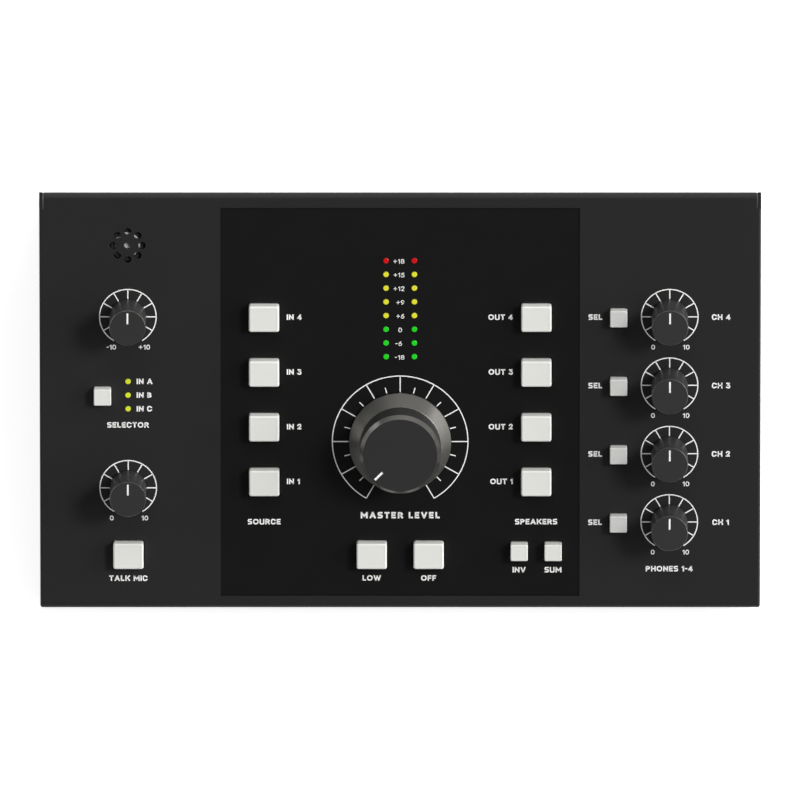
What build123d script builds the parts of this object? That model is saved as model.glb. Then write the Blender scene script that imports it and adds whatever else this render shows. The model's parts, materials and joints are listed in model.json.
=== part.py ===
from build123d import *
import os
from math import cos, radians, sin, tan

# Studio monitor controller: a wedge of folded steel whose top slopes down to the user.
# Frame: origin on the desk under the middle of the case, +X to the user's right, +Y to the rear,
# +Z up. Places on the control panel are (x, v): x across it and v up its slope, from its middle.
# Heights over the panel are along its normal. Places on the rear are (s, z): s runs from left to
# right as seen from behind, so s = -x, and z is the height over the desk. All sizes are in mm.

# ---- Case -------------------------------------------------------------------------------------
case_width = 268.0
case_depth = 154.3
front_height = 22.0  # of the front wall, from its lower edge to the panel
panel_slope = 15.0  # degrees
foot_height = 4.0
sheet = 1.2  # steel of the cover, the connector panel and the fascia carrier
base_sheet = 1.5
fold_radius = 2.0  # outside radius of the front and rear folds
side_fold_radius = 0.9
flange_drop = 9.0  # height of the cover's folded rear edge
relief_length = 6.0  # slots beside the rear fold
relief_width = 0.45
lip_width = 10.0  # inward folds that the base plate is screwed to
lip_gap = 1.0  # between the cover's side lips and the foot of the connector panel
base_gap = 0.3  # between the base plate or connector panel and the walls around it
rear_recess = 9.5  # of the connector panel, in from the rear edge
ledge_gap = 0.6  # the base plate ends this far inside the rear edge
panel_head_gap = 0.4  # over the connector panel, under the fascia carrier

# ---- Fascia -----------------------------------------------------------------------------------
fascia_width = 133.2
fascia_front_margin = 4.6  # from the panel's front edge
fascia_rear_margin = 6.2
fascia_thickness = 0.9
window_gap = 0.15
carrier_overlap = 5.5  # of the carrier behind the cover, at the sides
carrier_end_overlap = 2.0

# ---- Control layout on the panel --------------------------------------------------------------
top_row_v = 32.03  # first row of buttons and dials
bottom_row_margin = 20.63  # of the last row of buttons, from the panel's front edge
button_column_margin = 16.02  # of the columns of large buttons, from the fascia's sides
button_pitch = 21.07
button_rows = 4
dim_mute_x = 10.59
mode_pair_margin = 21.97  # from the panel's front edge
mode_pair_offset = 6.31
left_column_share = 0.5126  # of the way from the fascia's side to the case's side
select_button_share = 0.6533
phones_column_share = 0.4975
phones_source_share = 0.216
talkback_level_v = -33.77
microphone_margin = 20.45  # from the panel's rear edge
select_v = 1.95
phones_pitch = 26.32
phones_rows = 4
main_dial_v = -16.02

# ---- Buttons and their switches ---------------------------------------------------------------
cap_width = 11.45
cap_length = 10.05
small_cap_size = 6.57
cap_height = 4.0  # over the panel
cap_depth = 2.2  # below the panel
cap_corner = 0.8
cap_bevel = 0.7
small_cap_bevel = 0.45
cap_wall = 1.1
cap_gap = 0.3
button_travel = 1.2
plunger_size = 3.2
plunger_fit = 0.05  # in the cap's socket
boss_wall = 0.8
socket_depth = 3.0
switch_size = 7.4
switch_height = 5.0
switch_clearance = 0.12  # around the plunger
plunger_engagement = 1.0  # in the switch, at rest

# ---- Knobs and potentiometers -----------------------------------------------------------------
shaft_radius = 3.0
shaft_flat = 1.5  # from the shaft's middle to its flat
shaft_fit = 0.05
shaft_hole_gap = 0.7
knob_gap = 0.8  # under a knob
knob_radius = 6.77
knob_height = 16.5
knob_chamfer = 0.25
knob_roof = 3.0  # material over the bore
pointer_start = 1.5
pointer_end = 5.65
pointer_width = 0.65
pointer_depth = 0.25
pot_width = 9.8
pot_length = 11.4
pot_height = 6.6
pot_collar_radius = 3.9
pot_collar_height = 1.0
pot_floor = 1.8
main_skirt_radius = 18.95
main_rim_height = 1.5  # top of the skirt's straight rim
main_waist_radius = 15.25
main_waist_height = 7.0
main_body_radius = 15.15
main_shoulder_height = 17.9
main_top_radius = 13.8
main_knob_height = 19.8
main_recess_radius = 11.0
main_recess_height = 6.5
main_pointer_start = 9.3
main_pointer_end = 13.3
main_pointer_width = 0.85
main_pointer_angle = 135.0  # anticlockwise from straight up, at rest
main_pot_radius = 8.2
main_bush_radius = 4.5
main_bush_height = 5.2  # over the panel
bush_fit = 0.05  # of nuts and washers on threaded bushes
bush_hole_gap = 0.2
main_nut_width = 12.0  # across flats
main_nut_height = 2.0
main_washer_radius = 7.5
main_washer_thickness = 0.5

# ---- Lamps and microphone ---------------------------------------------------------------------
lamp_radius = 1.1
lamp_fit = 0.05
lamp_proud = 0.3
lamp_dome = 0.25
meter_column_x = 5.26
meter_margin = 26.34  # of its first row, from the panel's rear edge
meter_pitch = 5.27
meter_red_rows = 1
meter_yellow_rows = 4
meter_green_rows = 3
source_lamp_pitch = 5.27
source_lamps = 3
microphone_hole_radius = 1.37
microphone_ring_radius = 5.3
microphone_ring_holes = 8
capsule_radius = 4.85
capsule_height = 4.5
capsule_rim = 0.6
capsule_gap = 1.3  # under the cover
capsule_fit = 0.05
boot_wall = 1.3
boot_lip = 1.2

# ---- Control board and its fixings ------------------------------------------------------------
board_drop = 11.0  # of the board's upper face, below the panel
board_thickness = 1.6
board_side_gap = 6.0
board_front_margin = 9.9
board_rear_margin = 19.9
standoff_edge = 5.0  # from the board's edges
inner_standoff_gap = 5.9  # from the carrier's sides
standoff_radius = 3.2  # over the corners of its hexagon
standoff_spare = 0.6  # bore beyond the screw's end
screw_radius = 1.45
screw_head_radius = 2.8
screw_head_height = 1.8
screw_hex_radius = 1.2
screw_hex_depth = 1.0
screw_fit = 0.05
screw_clearance = 0.15
board_screw_length = 6.0
case_screw_length = 5.0
case_screw_spacing = 74.0  # along the front
side_screw_spacing = 52.0
rear_screw_spacing = 74.0
screws_per_row = 4
foot_radius = 7.0
foot_base_radius = 6.4
foot_inset_x = 19.0
foot_inset_y = 30.0
foot_recess_radius = 3.6
foot_recess_depth = 2.3
foot_screw_length = 5.5

# ---- Sockets on the rear ----------------------------------------------------------------------
jack_width = 15.5
jack_height = 12.6
jack_depth = 27.0
jack_spacing = 1.5  # between neighbouring bodies
jack_bush_radius = 4.5
jack_bush_length = 4.3
jack_bore_radius = 3.25
jack_bore_depth = 31.0
jack_group_gap = 6.0
lower_row_height = 11.37  # over the base plate
jack_head_room = 1.6  # between the upper row and the control board
phones_jack_columns = 2
line_jack_columns = 7
rear_side_share = 0.181  # of the free length along the rear, beside the first jacks
rear_inlet_share = 0.441  # before the power inlet
rear_switch_share = 0.145  # before the power switch
nut_width = 12.0
nut_height = 2.2
coax_body = 11.0
coax_shoulder_radius = 5.6
coax_shoulder_height = 0.8
coax_barrel_radius = 4.15
coax_barrel_length = 8.0
coax_bore_radius = 1.6
coax_bore_depth = 10.0
socket_gap = 6.0  # from the line jacks to the next sockets, and between those
aux_width = 9.0
aux_height = 9.0
aux_depth = 13.0
aux_bush_radius = 3.0
aux_bush_length = 4.0
aux_bore_radius = 1.8
aux_bore_depth = 15.0
aux_nut_radius = 4.4
aux_nut_height = 1.8
optical_width = 13.4
optical_height = 12.0
optical_depth = 15.0
optical_proud = 1.5
optical_frame = 1.4
optical_step = 1.2
optical_bore_depth = 9.0
inlet_radius = 5.5
inlet_depth = 13.0
inlet_flange_radius = 7.2
inlet_flange_height = 1.6
inlet_bore_radius = 3.15
inlet_bore_depth = 9.5
inlet_pin_radius = 1.05
inlet_pin_recess = 1.0
inlet_nut_width = 15.0
inlet_nut_height = 2.5
rocker_switch_width = 13.0
rocker_switch_height = 20.4
rocker_switch_depth = 14.0
rocker_bezel_edge = 1.2
rocker_bezel_height = 2.0
rocker_wall = 1.2
rocker_cavity_depth = 9.0
rocker_gap = 0.35
rocker_tilt = 9.0  # degrees, each way from the middle
rocker_half_length = 7.5
rocker_proud = 2.4
rocker_ridge = 0.8
rocker_pivot_depth = 2.5  # below the bezel's face
rocker_back_depth = 5.5
rocker_back_half = 2.5
trunnion_radius = 1.2
trunnion_fit = 0.05
trunnion_engagement = 0.9
terminal_width = 4.8
terminal_thickness = 0.8
terminal_length = 7.0
terminal_offset = 5.0

# ---- Parts on the boards ----------------------------------------------------------------------
connector_board_margin = 3.0
connector_board_head = 0.5
relay_length = 15.0
relay_width = 7.4
relay_height = 9.2
relays = 6
relay_spacing = 3.0
relay_inset = 10.0
capacitor_radius = 5.0
capacitor_length = 14.0
capacitors = 3
capacitor_spacing = 3.0
capacitor_inset = 30.8  # from the board's left end
capacitor_v = 25.0
ribbon_x = -18.0
ribbon_width = 25.4
ribbon_thickness = 1.0
ribbon_radius = 6.0
header_width = 30.0
header_height = 8.6
header_depth = 6.0

# ---- Worked out from the sizes above ----------------------------------------------------------
slope = radians(panel_slope)
half_width = case_width / 2
half_depth = case_depth / 2
inner_half_width = half_width - sheet
panel_mid_z = foot_height + front_height + half_depth * tan(slope)
panel_half_length = half_depth / cos(slope)
panel = Plane(
    origin=(0, 0, panel_mid_z),
    x_dir=(1, 0, 0),
    z_dir=(0, -sin(slope), cos(slope)),
)
outward = Axis(panel.origin, panel.z_dir)
base_top_z = foot_height + base_sheet
fascia_level = fascia_thickness - sheet  # the fascia lies on the carrier, below the cover's face
fascia_half_width = fascia_width / 2
side_panel_width = half_width - fascia_half_width
button_column_x = fascia_half_width - button_column_margin
left_column_x = -fascia_half_width - left_column_share * side_panel_width
select_button_x = -fascia_half_width - select_button_share * side_panel_width
phones_column_x = fascia_half_width + phones_column_share * side_panel_width
phones_source_x = fascia_half_width + phones_source_share * side_panel_width
fascia_front_v = fascia_front_margin - panel_half_length
fascia_rear_v = panel_half_length - fascia_rear_margin
fascia_length = fascia_rear_v - fascia_front_v
fascia_mid_v = (fascia_rear_v + fascia_front_v) / 2
bottom_row_v = bottom_row_margin - panel_half_length
mode_pair_v = mode_pair_margin - panel_half_length
microphone_v = panel_half_length - microphone_margin
meter_top_v = panel_half_length - meter_margin
board_back = -board_drop - board_thickness
board_half_width = inner_half_width - board_side_gap
inner_standoff_x = fascia_half_width + carrier_overlap + inner_standoff_gap
board_front_v = board_front_margin - panel_half_length
board_rear_v = panel_half_length - board_rear_margin
rear_face_y = half_depth - rear_recess
rear = Plane(origin=(0, rear_face_y, 0), x_dir=(-1, 0, 0), z_dir=(0, 1, 0))
screw_hole_radius = screw_radius + screw_clearance
thread_radius = screw_radius + screw_fit
select_v_top = select_v + source_lamp_pitch
inward = (Align.CENTER, Align.CENTER, Align.MAX)
upward = (Align.CENTER, Align.CENTER, Align.MIN)


def panel_z(y, depth=0.0):
    """Height over the desk, at y, of the plane that lies depth below the panel."""
    return panel_mid_z + y * tan(slope) - depth / cos(slope)


def span_box(x_limits, y_limits, z_limits, mode=Mode.ADD):
    """A block between two limits on each axis, added to the piece being built."""
    middles = [(low + high) / 2 for low, high in (x_limits, y_limits, z_limits)]
    sizes = [abs(high - low) for low, high in (x_limits, y_limits, z_limits)]
    with Locations(tuple(middles)):
        Box(*sizes, mode=mode)


def finish(piece, name):
    """Names a finished piece and writes its file."""
    piece.part.label = name
    export_step(piece.part, f"parts/{name}.step")


os.makedirs("parts", exist_ok=True)

# ---- Places of the repeated controls ----------------------------------------------------------
button_rows_v = [top_row_v - row * button_pitch for row in range(button_rows)]
phones_rows_v = [top_row_v - row * phones_pitch for row in range(phones_rows)]
large_caps = {}
for row, v in enumerate(button_rows_v):
    large_caps[f"input_button_{button_rows - row}"] = (-button_column_x, v)
    large_caps[f"output_button_{button_rows - row}"] = (button_column_x, v)
large_caps["dim_button"] = (-dim_mute_x, bottom_row_v)
large_caps["mute_button"] = (dim_mute_x, bottom_row_v)
large_caps["talkback_button"] = (left_column_x, bottom_row_v)
small_caps = {
    "polarity_button": (button_column_x - mode_pair_offset, mode_pair_v),
    "mono_button": (button_column_x + mode_pair_offset, mode_pair_v),
    "select_button": (select_button_x, select_v),
}
dials = {
    "trim_knob": (left_column_x, top_row_v),
    "talkback_knob": (left_column_x, talkback_level_v),
}
for row, v in enumerate(phones_rows_v):
    small_caps[f"phones_source_button_{phones_rows - row}"] = (phones_source_x, v)
    dials[f"phones_knob_{phones_rows - row}"] = (phones_column_x, v)

meter_rows_v = [
    meter_top_v - row * meter_pitch
    for row in range(meter_red_rows + meter_yellow_rows + meter_green_rows)
]
source_lamps_v = [select_v_top - row * source_lamp_pitch for row in range(source_lamps)]
meter_places = [(side * meter_column_x, v) for v in meter_rows_v for side in (-1, 1)]
source_places = [(left_column_x, v) for v in source_lamps_v]

standoff_places = [
    (side * x, v)
    for side in (-1, 1)
    for x in (inner_standoff_x, board_half_width - standoff_edge)
    for v in (board_front_v + standoff_edge, board_rear_v - standoff_edge)
]


def cap_openings(on_fascia):
    """Openings for the button caps that stand on the fascia, or for all the others."""
    for caps, width, length in (
        (large_caps, cap_width, cap_length),
        (small_caps, small_cap_size, small_cap_size),
    ):
        places = [place for place in caps.values() if (abs(place[0]) < fascia_half_width) == on_fascia]
        with Locations(*places):
            RectangleRounded(width + 2 * cap_gap, length + 2 * cap_gap, cap_corner + cap_gap)


def wedge(inset, fold, side_fold=0.0):
    """The case's outline as a solid, drawn in by inset everywhere but underneath."""
    front_y = inset - half_depth
    rear_y = half_depth - inset
    with BuildPart() as outline:
        with BuildSketch(Plane.YZ):
            with BuildLine():
                Polyline(
                    (front_y, foot_height),
                    (rear_y, foot_height),
                    (rear_y, panel_z(rear_y, inset)),
                    (front_y, panel_z(front_y, inset)),
                    close=True,
                )
            make_face()
        extrude(amount=half_width - inset, both=True)
        roof_edges = outline.faces().sort_by(outward)[-1].edges()
        fillet(roof_edges.filter_by(Axis.X), fold)
        if side_fold:
            side_edges = outline.faces().filter_by(Axis.X).edges()
            sloping = side_edges.filter_by(Axis((0, 0, 0), panel.y_dir))
            fillet(sloping + side_edges.filter_by(GeomType.CIRCLE), side_fold)
    return outline.part


# ---- Top cover: one folded steel sheet with the panel, the front, the sides and a rear flange ----
rear_top_z = panel_z(half_depth)
side_lip_end_y = rear_face_y - lip_width - lip_gap
relief_start_y = half_depth - relief_length
outer_wedge = wedge(0, fold_radius, side_fold_radius)
inner_wedge = wedge(sheet, fold_radius - sheet)
with BuildPart() as top_cover:
    add(outer_wedge)
    add(inner_wedge, mode=Mode.SUBTRACT)
    # The rear is open below the flange.
    span_box(
        (-inner_half_width, inner_half_width),
        (half_depth - 2 * sheet, half_depth + sheet),
        (foot_height - sheet, rear_top_z - flange_drop),
        mode=Mode.SUBTRACT,
    )
    # Lips fold inwards at the foot of the front and the sides; the base plate lies under them.
    span_box(
        (-inner_half_width, inner_half_width),
        (sheet - half_depth, sheet - half_depth + lip_width),
        (base_top_z, base_top_z + sheet),
    )
    for side in (-1, 1):
        span_box(
            (side * (inner_half_width - lip_width), side * inner_half_width),
            (sheet - half_depth, side_lip_end_y),
            (base_top_z, base_top_z + sheet),
        )
        # A slot beside the rear fold leaves the end of the side wall standing by itself, square.
        span_box(
            (side * (inner_half_width - relief_width), side * (half_width + sheet)),
            (relief_start_y, half_depth + sheet),
            (rear_top_z - flange_drop - sheet, rear_top_z + sheet),
            mode=Mode.SUBTRACT,
        )
        with BuildSketch(Plane.YZ.offset(side * (half_width - sheet / 2))):
            with BuildLine():
                Polyline(
                    (relief_start_y, rear_top_z - flange_drop - sheet),
                    (half_depth, rear_top_z - flange_drop - sheet),
                    (half_depth, rear_top_z),
                    (relief_start_y, panel_z(relief_start_y)),
                    close=True,
                )
            make_face()
        extrude(amount=sheet / 2, both=True)
    with BuildSketch(panel):
        with Locations((0, fascia_mid_v)):
            Rectangle(fascia_width + 2 * window_gap, fascia_length + 2 * window_gap)
        cap_openings(on_fascia=False)
        with Locations(*dials.values()):
            Circle(shaft_radius + shaft_hole_gap)
        with Locations(*source_places):
            Circle(lamp_radius + lamp_fit)
        with Locations((left_column_x, microphone_v)):
            Circle(microphone_hole_radius)
            with PolarLocations(microphone_ring_radius, microphone_ring_holes):
                Circle(microphone_hole_radius)
    extrude(amount=2 * sheet, both=True, mode=Mode.SUBTRACT)
    # Threaded holes in the lips.
    front_screws = [
        ((place - (screws_per_row - 1) / 2) * case_screw_spacing, sheet - half_depth + lip_width / 2)
        for place in range(screws_per_row)
    ]
    side_screws = [
        (side * (inner_half_width - lip_width / 2), place * side_screw_spacing / 2)
        for side in (-1, 1)
        for place in (-1, 1)
    ]
    with Locations(*[(x, y, base_top_z) for x, y in front_screws + side_screws]):
        Cylinder(thread_radius, 4 * sheet, mode=Mode.SUBTRACT)
finish(top_cover, "top_cover")

# ---- Fascia carrier: flat steel plate bonded behind the window, which the fascia lies on ----
with BuildPart() as fascia_carrier:
    with BuildSketch(panel.offset(-sheet)):
        with Locations((0, fascia_mid_v)):
            Rectangle(fascia_width + 2 * carrier_overlap, fascia_length + 2 * carrier_end_overlap)
        with Locations((0, main_dial_v)):
            Circle(main_bush_radius + bush_hole_gap, mode=Mode.SUBTRACT)
    extrude(amount=-sheet)
    with BuildSketch(panel):
        cap_openings(on_fascia=True)
        with Locations(*meter_places):
            Circle(lamp_radius + lamp_fit)
    extrude(amount=-3 * sheet, mode=Mode.SUBTRACT)
finish(fascia_carrier, "fascia_carrier")

# ---- Centre fascia: dark anodised aluminium plate in the cover's window ----
with BuildPart() as centre_fascia:
    with BuildSketch(panel.offset(-sheet)):
        with Locations((0, fascia_mid_v)):
            Rectangle(fascia_width, fascia_length)
        with Locations((0, main_dial_v)):
            Circle(main_bush_radius + bush_hole_gap, mode=Mode.SUBTRACT)
    extrude(amount=fascia_thickness)
    with BuildSketch(panel):
        cap_openings(on_fascia=True)
        with Locations(*meter_places):
            Circle(lamp_radius + lamp_fit)
    extrude(amount=-2 * sheet, mode=Mode.SUBTRACT)
finish(centre_fascia, "centre_fascia")

# ---- Control board: one circuit board under the whole panel ----
with BuildPart() as control_board:
    with BuildSketch(panel.offset(board_back)):
        with Locations((0, (board_front_v + board_rear_v) / 2)):
            Rectangle(2 * board_half_width, board_rear_v - board_front_v)
        with Locations(*standoff_places):
            Circle(screw_hole_radius, mode=Mode.SUBTRACT)
    extrude(amount=board_thickness)
finish(control_board, "control_board")

# ---- Hex standoffs: brass, pressed into the cover, with the board screwed under them ----
with BuildPart() as standoffs:
    with BuildSketch(panel.offset(-board_drop)):
        with Locations(*standoff_places):
            RegularPolygon(standoff_radius, side_count=6)
    extrude(amount=board_drop - sheet)
    with BuildSketch(panel.offset(-board_drop)):
        with Locations(*standoff_places):
            Circle(thread_radius)
    extrude(amount=board_screw_length - board_thickness + standoff_spare, mode=Mode.SUBTRACT)
finish(standoffs, "standoffs")


def pan_screws(seat, places, length):
    """Pan-head screws with a hexagon socket. The seat is the plane under their heads."""
    with BuildPart(seat) as screws:
        with Locations(*places):
            Cylinder(screw_head_radius, screw_head_height, align=inward)
            Cylinder(screw_radius, length, align=upward)
        with BuildSketch(seat.offset(-screw_head_height)):
            with Locations(*places):
                RegularPolygon(screw_hex_radius, side_count=6)
        extrude(amount=screw_hex_depth, mode=Mode.SUBTRACT)
    return screws


board_screws = pan_screws(panel.offset(board_back), standoff_places, board_screw_length)
finish(board_screws, "board_screws")


# ---- Push switches: moulded bodies soldered to the board, open on top for the plunger ----
def switch_bodies(places):
    """The switch bodies at the given places."""
    with BuildPart(panel.offset(-board_drop)) as bodies:
        with Locations(*places):
            Box(switch_size, switch_size, switch_height, align=upward)
        with BuildSketch(panel.offset(switch_height - board_drop)):
            with Locations(*places):
                Rectangle(plunger_size + 2 * switch_clearance, plunger_size + 2 * switch_clearance)
        extrude(amount=-plunger_engagement - button_travel - cap_gap, mode=Mode.SUBTRACT)
    return bodies


push_switches = switch_bodies(list(large_caps.values()) + list(small_caps.values()))
finish(push_switches, "push_switches")


# ---- Buttons: a hollow moulded cap pushed onto the square plunger of its switch ----
def button(place, width, length, bevel):
    """One cap with its plunger, at rest."""
    plunger_foot = switch_height - board_drop - plunger_engagement
    socket_roof = socket_depth - cap_depth
    boss = plunger_size + 2 * (plunger_fit + boss_wall)
    with BuildPart() as cap:
        with BuildSketch(panel.offset(-cap_depth)):
            with Locations(place):
                RectangleRounded(width, length, cap_corner)
        extrude(amount=cap_height + cap_depth)
        fillet(cap.faces().sort_by(outward)[-1].edges(), bevel)
        if boss < min(width, length) - 2 * cap_wall:
            with BuildSketch(panel.offset(-cap_depth)):
                with Locations(place):
                    Rectangle(width - 2 * cap_wall, length - 2 * cap_wall)
                    Rectangle(boss, boss, mode=Mode.SUBTRACT)
            extrude(amount=cap_height + cap_depth - cap_wall - bevel, mode=Mode.SUBTRACT)
        with BuildSketch(panel.offset(-cap_depth)):
            with Locations(place):
                Rectangle(plunger_size + 2 * plunger_fit, plunger_size + 2 * plunger_fit)
        extrude(amount=socket_depth, mode=Mode.SUBTRACT)
        with BuildSketch(panel.offset(plunger_foot)):
            with Locations(place):
                Rectangle(plunger_size, plunger_size)
        extrude(amount=socket_roof - plunger_fit - plunger_foot)
    return cap


for name, place in large_caps.items():
    finish(button(place, cap_width, cap_length, cap_bevel), name)
for name, place in small_caps.items():
    finish(button(place, small_cap_size, small_cap_size, small_cap_bevel), name)

# ---- Small potentiometers: soldered to the board, each with a collar round its shaft ----
small_pot_floor = pot_floor - board_drop
with BuildPart(panel.offset(-board_drop)) as small_pots:
    with Locations(*dials.values()):
        Box(pot_width, pot_length, pot_height, align=upward)
        Cylinder(pot_collar_radius, pot_height + pot_collar_height, align=upward)
    with BuildSketch(panel.offset(small_pot_floor)):
        with Locations(*dials.values()):
            Circle(shaft_radius + shaft_fit)
    extrude(amount=pot_height + pot_collar_height, mode=Mode.SUBTRACT)
finish(small_pots, "small_pots")


def d_section(place, radius, flat):
    """A round section with one flat, for a shaft or the bore of its knob."""
    x, v = place
    with Locations(place):
        Circle(radius)
    with Locations((x + flat, v)):
        Rectangle(radius, 2 * radius, align=(Align.MIN, Align.CENTER), mode=Mode.SUBTRACT)


# ---- Small knobs: turned plastic with a pointer groove, each pushed onto a D-shaft ----
def small_knob(place):
    """One knob with its shaft, at rest with the pointer straight up the panel."""
    x, v = place
    bore_top = knob_height - knob_roof
    with BuildPart() as knob:
        with BuildSketch(panel.offset(knob_gap)):
            with Locations(place):
                Circle(knob_radius)
        extrude(amount=knob_height - knob_gap)
        chamfer(knob.faces().sort_by(outward)[-1].edges(), knob_chamfer)
        with BuildSketch(panel.offset(knob_height)):
            with Locations((x, v + pointer_start)):
                Rectangle(
                    pointer_width, pointer_end - pointer_start, align=(Align.CENTER, Align.MIN)
                )
        extrude(amount=-pointer_depth, mode=Mode.SUBTRACT)
        with BuildSketch(panel.offset(knob_gap)):
            d_section(place, shaft_radius + shaft_fit, shaft_flat + shaft_fit)
        extrude(amount=bore_top - knob_gap, mode=Mode.SUBTRACT)
        with BuildSketch(panel.offset(small_pot_floor + shaft_fit)):
            with Locations(place):
                Circle(shaft_radius)
        extrude(amount=-small_pot_floor - shaft_fit)
        with BuildSketch(panel):
            d_section(place, shaft_radius, shaft_flat)
        extrude(amount=bore_top - shaft_fit)
    return knob


for name, place in dials.items():
    finish(small_knob(place), name)

# ---- Main potentiometer: a round can behind the carrier, held by the nut on its threaded bush ----
main_place = (0, main_dial_v)
main_pot_floor = pot_floor - board_drop
with BuildPart() as main_pot:
    with BuildSketch(panel.offset(-board_drop)):
        with Locations(main_place):
            Circle(main_pot_radius)
    extrude(amount=board_drop - 2 * sheet)
    with BuildSketch(panel.offset(-board_drop)):
        with Locations(main_place):
            Circle(main_bush_radius)
    extrude(amount=board_drop + main_bush_height)
    with BuildSketch(panel.offset(main_pot_floor)):
        with Locations(main_place):
            Circle(shaft_radius + shaft_fit)
    extrude(amount=main_bush_height + board_drop, mode=Mode.SUBTRACT)
finish(main_pot, "main_pot")

with BuildPart() as main_pot_nut:
    with BuildSketch(panel.offset(fascia_level)):
        with Locations(main_place):
            Circle(main_washer_radius)
            Circle(main_bush_radius + bush_fit, mode=Mode.SUBTRACT)
    extrude(amount=main_washer_thickness)
    with BuildSketch(panel.offset(fascia_level + main_washer_thickness)):
        with Locations(main_place):
            RegularPolygon(main_nut_width / 2, side_count=6, major_radius=False)
            Circle(main_bush_radius + bush_fit, mode=Mode.SUBTRACT)
    extrude(amount=main_nut_height)
finish(main_pot_nut, "main_pot_nut")

# ---- Main knob: one turned piece with a conical skirt, hollow underneath over the nut ----
main_section = Plane(
    origin=panel.from_local_coords((0, main_dial_v, 0)),
    x_dir=panel.x_dir,
    z_dir=-panel.y_dir,
)
main_axis = Axis(main_section.origin, panel.z_dir)
main_bore_top = main_knob_height - knob_roof
with BuildPart() as main_knob:
    with BuildSketch(main_section):
        with BuildLine():
            Polyline(
                (0, main_recess_height),
                (main_recess_radius, main_recess_height),
                (main_recess_radius, knob_gap),
                (main_skirt_radius, knob_gap),
                (main_skirt_radius, main_rim_height),
                (main_waist_radius, main_waist_height),
                (main_body_radius, main_waist_height),
                (main_body_radius, main_shoulder_height),
                (main_top_radius, main_knob_height),
                (0, main_knob_height),
                close=True,
            )
        make_face()
    revolve(axis=main_axis)
    with BuildSketch(panel.offset(main_knob_height)):
        with Locations(main_place):
            with PolarLocations(main_pointer_start, 1, start_angle=90 + main_pointer_angle):
                Rectangle(
                    main_pointer_end - main_pointer_start,
                    main_pointer_width,
                    align=(Align.MIN, Align.CENTER),
                )
    extrude(amount=-pointer_depth, mode=Mode.SUBTRACT)
    with BuildSketch(panel.offset(main_recess_height)):
        d_section(main_place, shaft_radius + shaft_fit, shaft_flat + shaft_fit)
    extrude(amount=main_bore_top - main_recess_height, mode=Mode.SUBTRACT)
finish(main_knob, "main_knob")

with BuildPart() as main_shaft:
    with BuildSketch(panel.offset(main_pot_floor + shaft_fit)):
        with Locations(main_place):
            Circle(shaft_radius)
    extrude(amount=main_bush_height - main_pot_floor - shaft_fit)
    with BuildSketch(panel.offset(main_bush_height)):
        d_section(main_place, shaft_radius, shaft_flat)
    extrude(amount=main_bore_top - shaft_fit - main_bush_height)
finish(main_shaft, "main_shaft")


# ---- Lamps: light-emitting diodes on the board, each with a clear domed pipe to the panel ----
def lamps(places, surface):
    """Lamps whose domes stand just proud of the given surface."""
    with BuildPart() as lenses:
        with BuildSketch(panel.offset(-board_drop)):
            with Locations(*places):
                Circle(lamp_radius)
        extrude(amount=board_drop + surface + lamp_proud)
        rims = lenses.edges().filter_by(GeomType.CIRCLE).group_by(outward)[-1]
        fillet(rims, lamp_dome)
    return lenses


red_end = 2 * meter_red_rows
yellow_end = red_end + 2 * meter_yellow_rows
finish(lamps(meter_places[:red_end], fascia_level), "meter_lamps_red")
finish(lamps(meter_places[red_end:yellow_end], fascia_level), "meter_lamps_yellow")
finish(lamps(meter_places[yellow_end:], fascia_level), "meter_lamps_green")
finish(lamps(source_places, 0), "source_lamps")

# ---- Talkback microphone: an electret capsule in a rubber boot glued behind the holes ----
microphone_place = (left_column_x, microphone_v)
capsule_top = -sheet - capsule_gap
boot_radius = capsule_radius + boot_wall
with BuildPart() as talkback_microphone:
    with BuildSketch(panel.offset(capsule_top)):
        with Locations(microphone_place):
            Circle(capsule_radius)
    extrude(amount=-capsule_height)
    with BuildSketch(panel.offset(capsule_top)):
        with Locations(microphone_place):
            Circle(capsule_radius - capsule_rim)
    extrude(amount=-capsule_rim / 2, mode=Mode.SUBTRACT)
finish(talkback_microphone, "talkback_microphone")

with BuildPart() as microphone_boot:
    with BuildSketch(panel.offset(-sheet)):
        with Locations(microphone_place):
            Circle(boot_radius)
            Circle(capsule_radius + capsule_fit, mode=Mode.SUBTRACT)
    extrude(amount=-capsule_gap - capsule_height)
    with BuildSketch(panel.offset(capsule_top - capsule_height)):
        with Locations(microphone_place):
            Circle(boot_radius)
            Circle(capsule_radius - capsule_rim, mode=Mode.SUBTRACT)
    extrude(amount=-boot_lip / 2)
finish(microphone_boot, "microphone_boot")

# ---- Places on the connector panel, as seen from behind ----
jack_pitch = jack_width + jack_spacing
jack_columns_width = (phones_jack_columns + line_jack_columns) * jack_pitch - jack_spacing
digital_width = 2 * socket_gap + coax_body + optical_width
inlet_half_width = inlet_nut_width / 2 / cos(radians(30))  # over the corners of its nut
switch_half_width = rocker_switch_width / 2 + rocker_bezel_edge
power_width = 2 * inlet_half_width + 2 * switch_half_width
rear_row_width = jack_columns_width + jack_group_gap + digital_width + power_width
rear_room = 2 * inner_half_width - rear_row_width
jack_back_y = rear_face_y - sheet - jack_depth
connector_board_y = jack_back_y - board_thickness
connector_board_top_z = panel_z(connector_board_y, -board_back) - jack_head_room
upper_row_z = connector_board_top_z - connector_board_head - jack_height / 2
lower_row_z = base_top_z + lower_row_height
rows_z = (lower_row_z, upper_row_z)
first_jack_s = rear_side_share * rear_room - inner_half_width + jack_width / 2
first_line_s = first_jack_s + phones_jack_columns * jack_pitch + jack_group_gap
last_line_s = first_line_s + (line_jack_columns - 1) * jack_pitch
phones_jack_places = [
    (first_jack_s + column * jack_pitch, z) for column in range(phones_jack_columns) for z in rows_z
]
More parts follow.
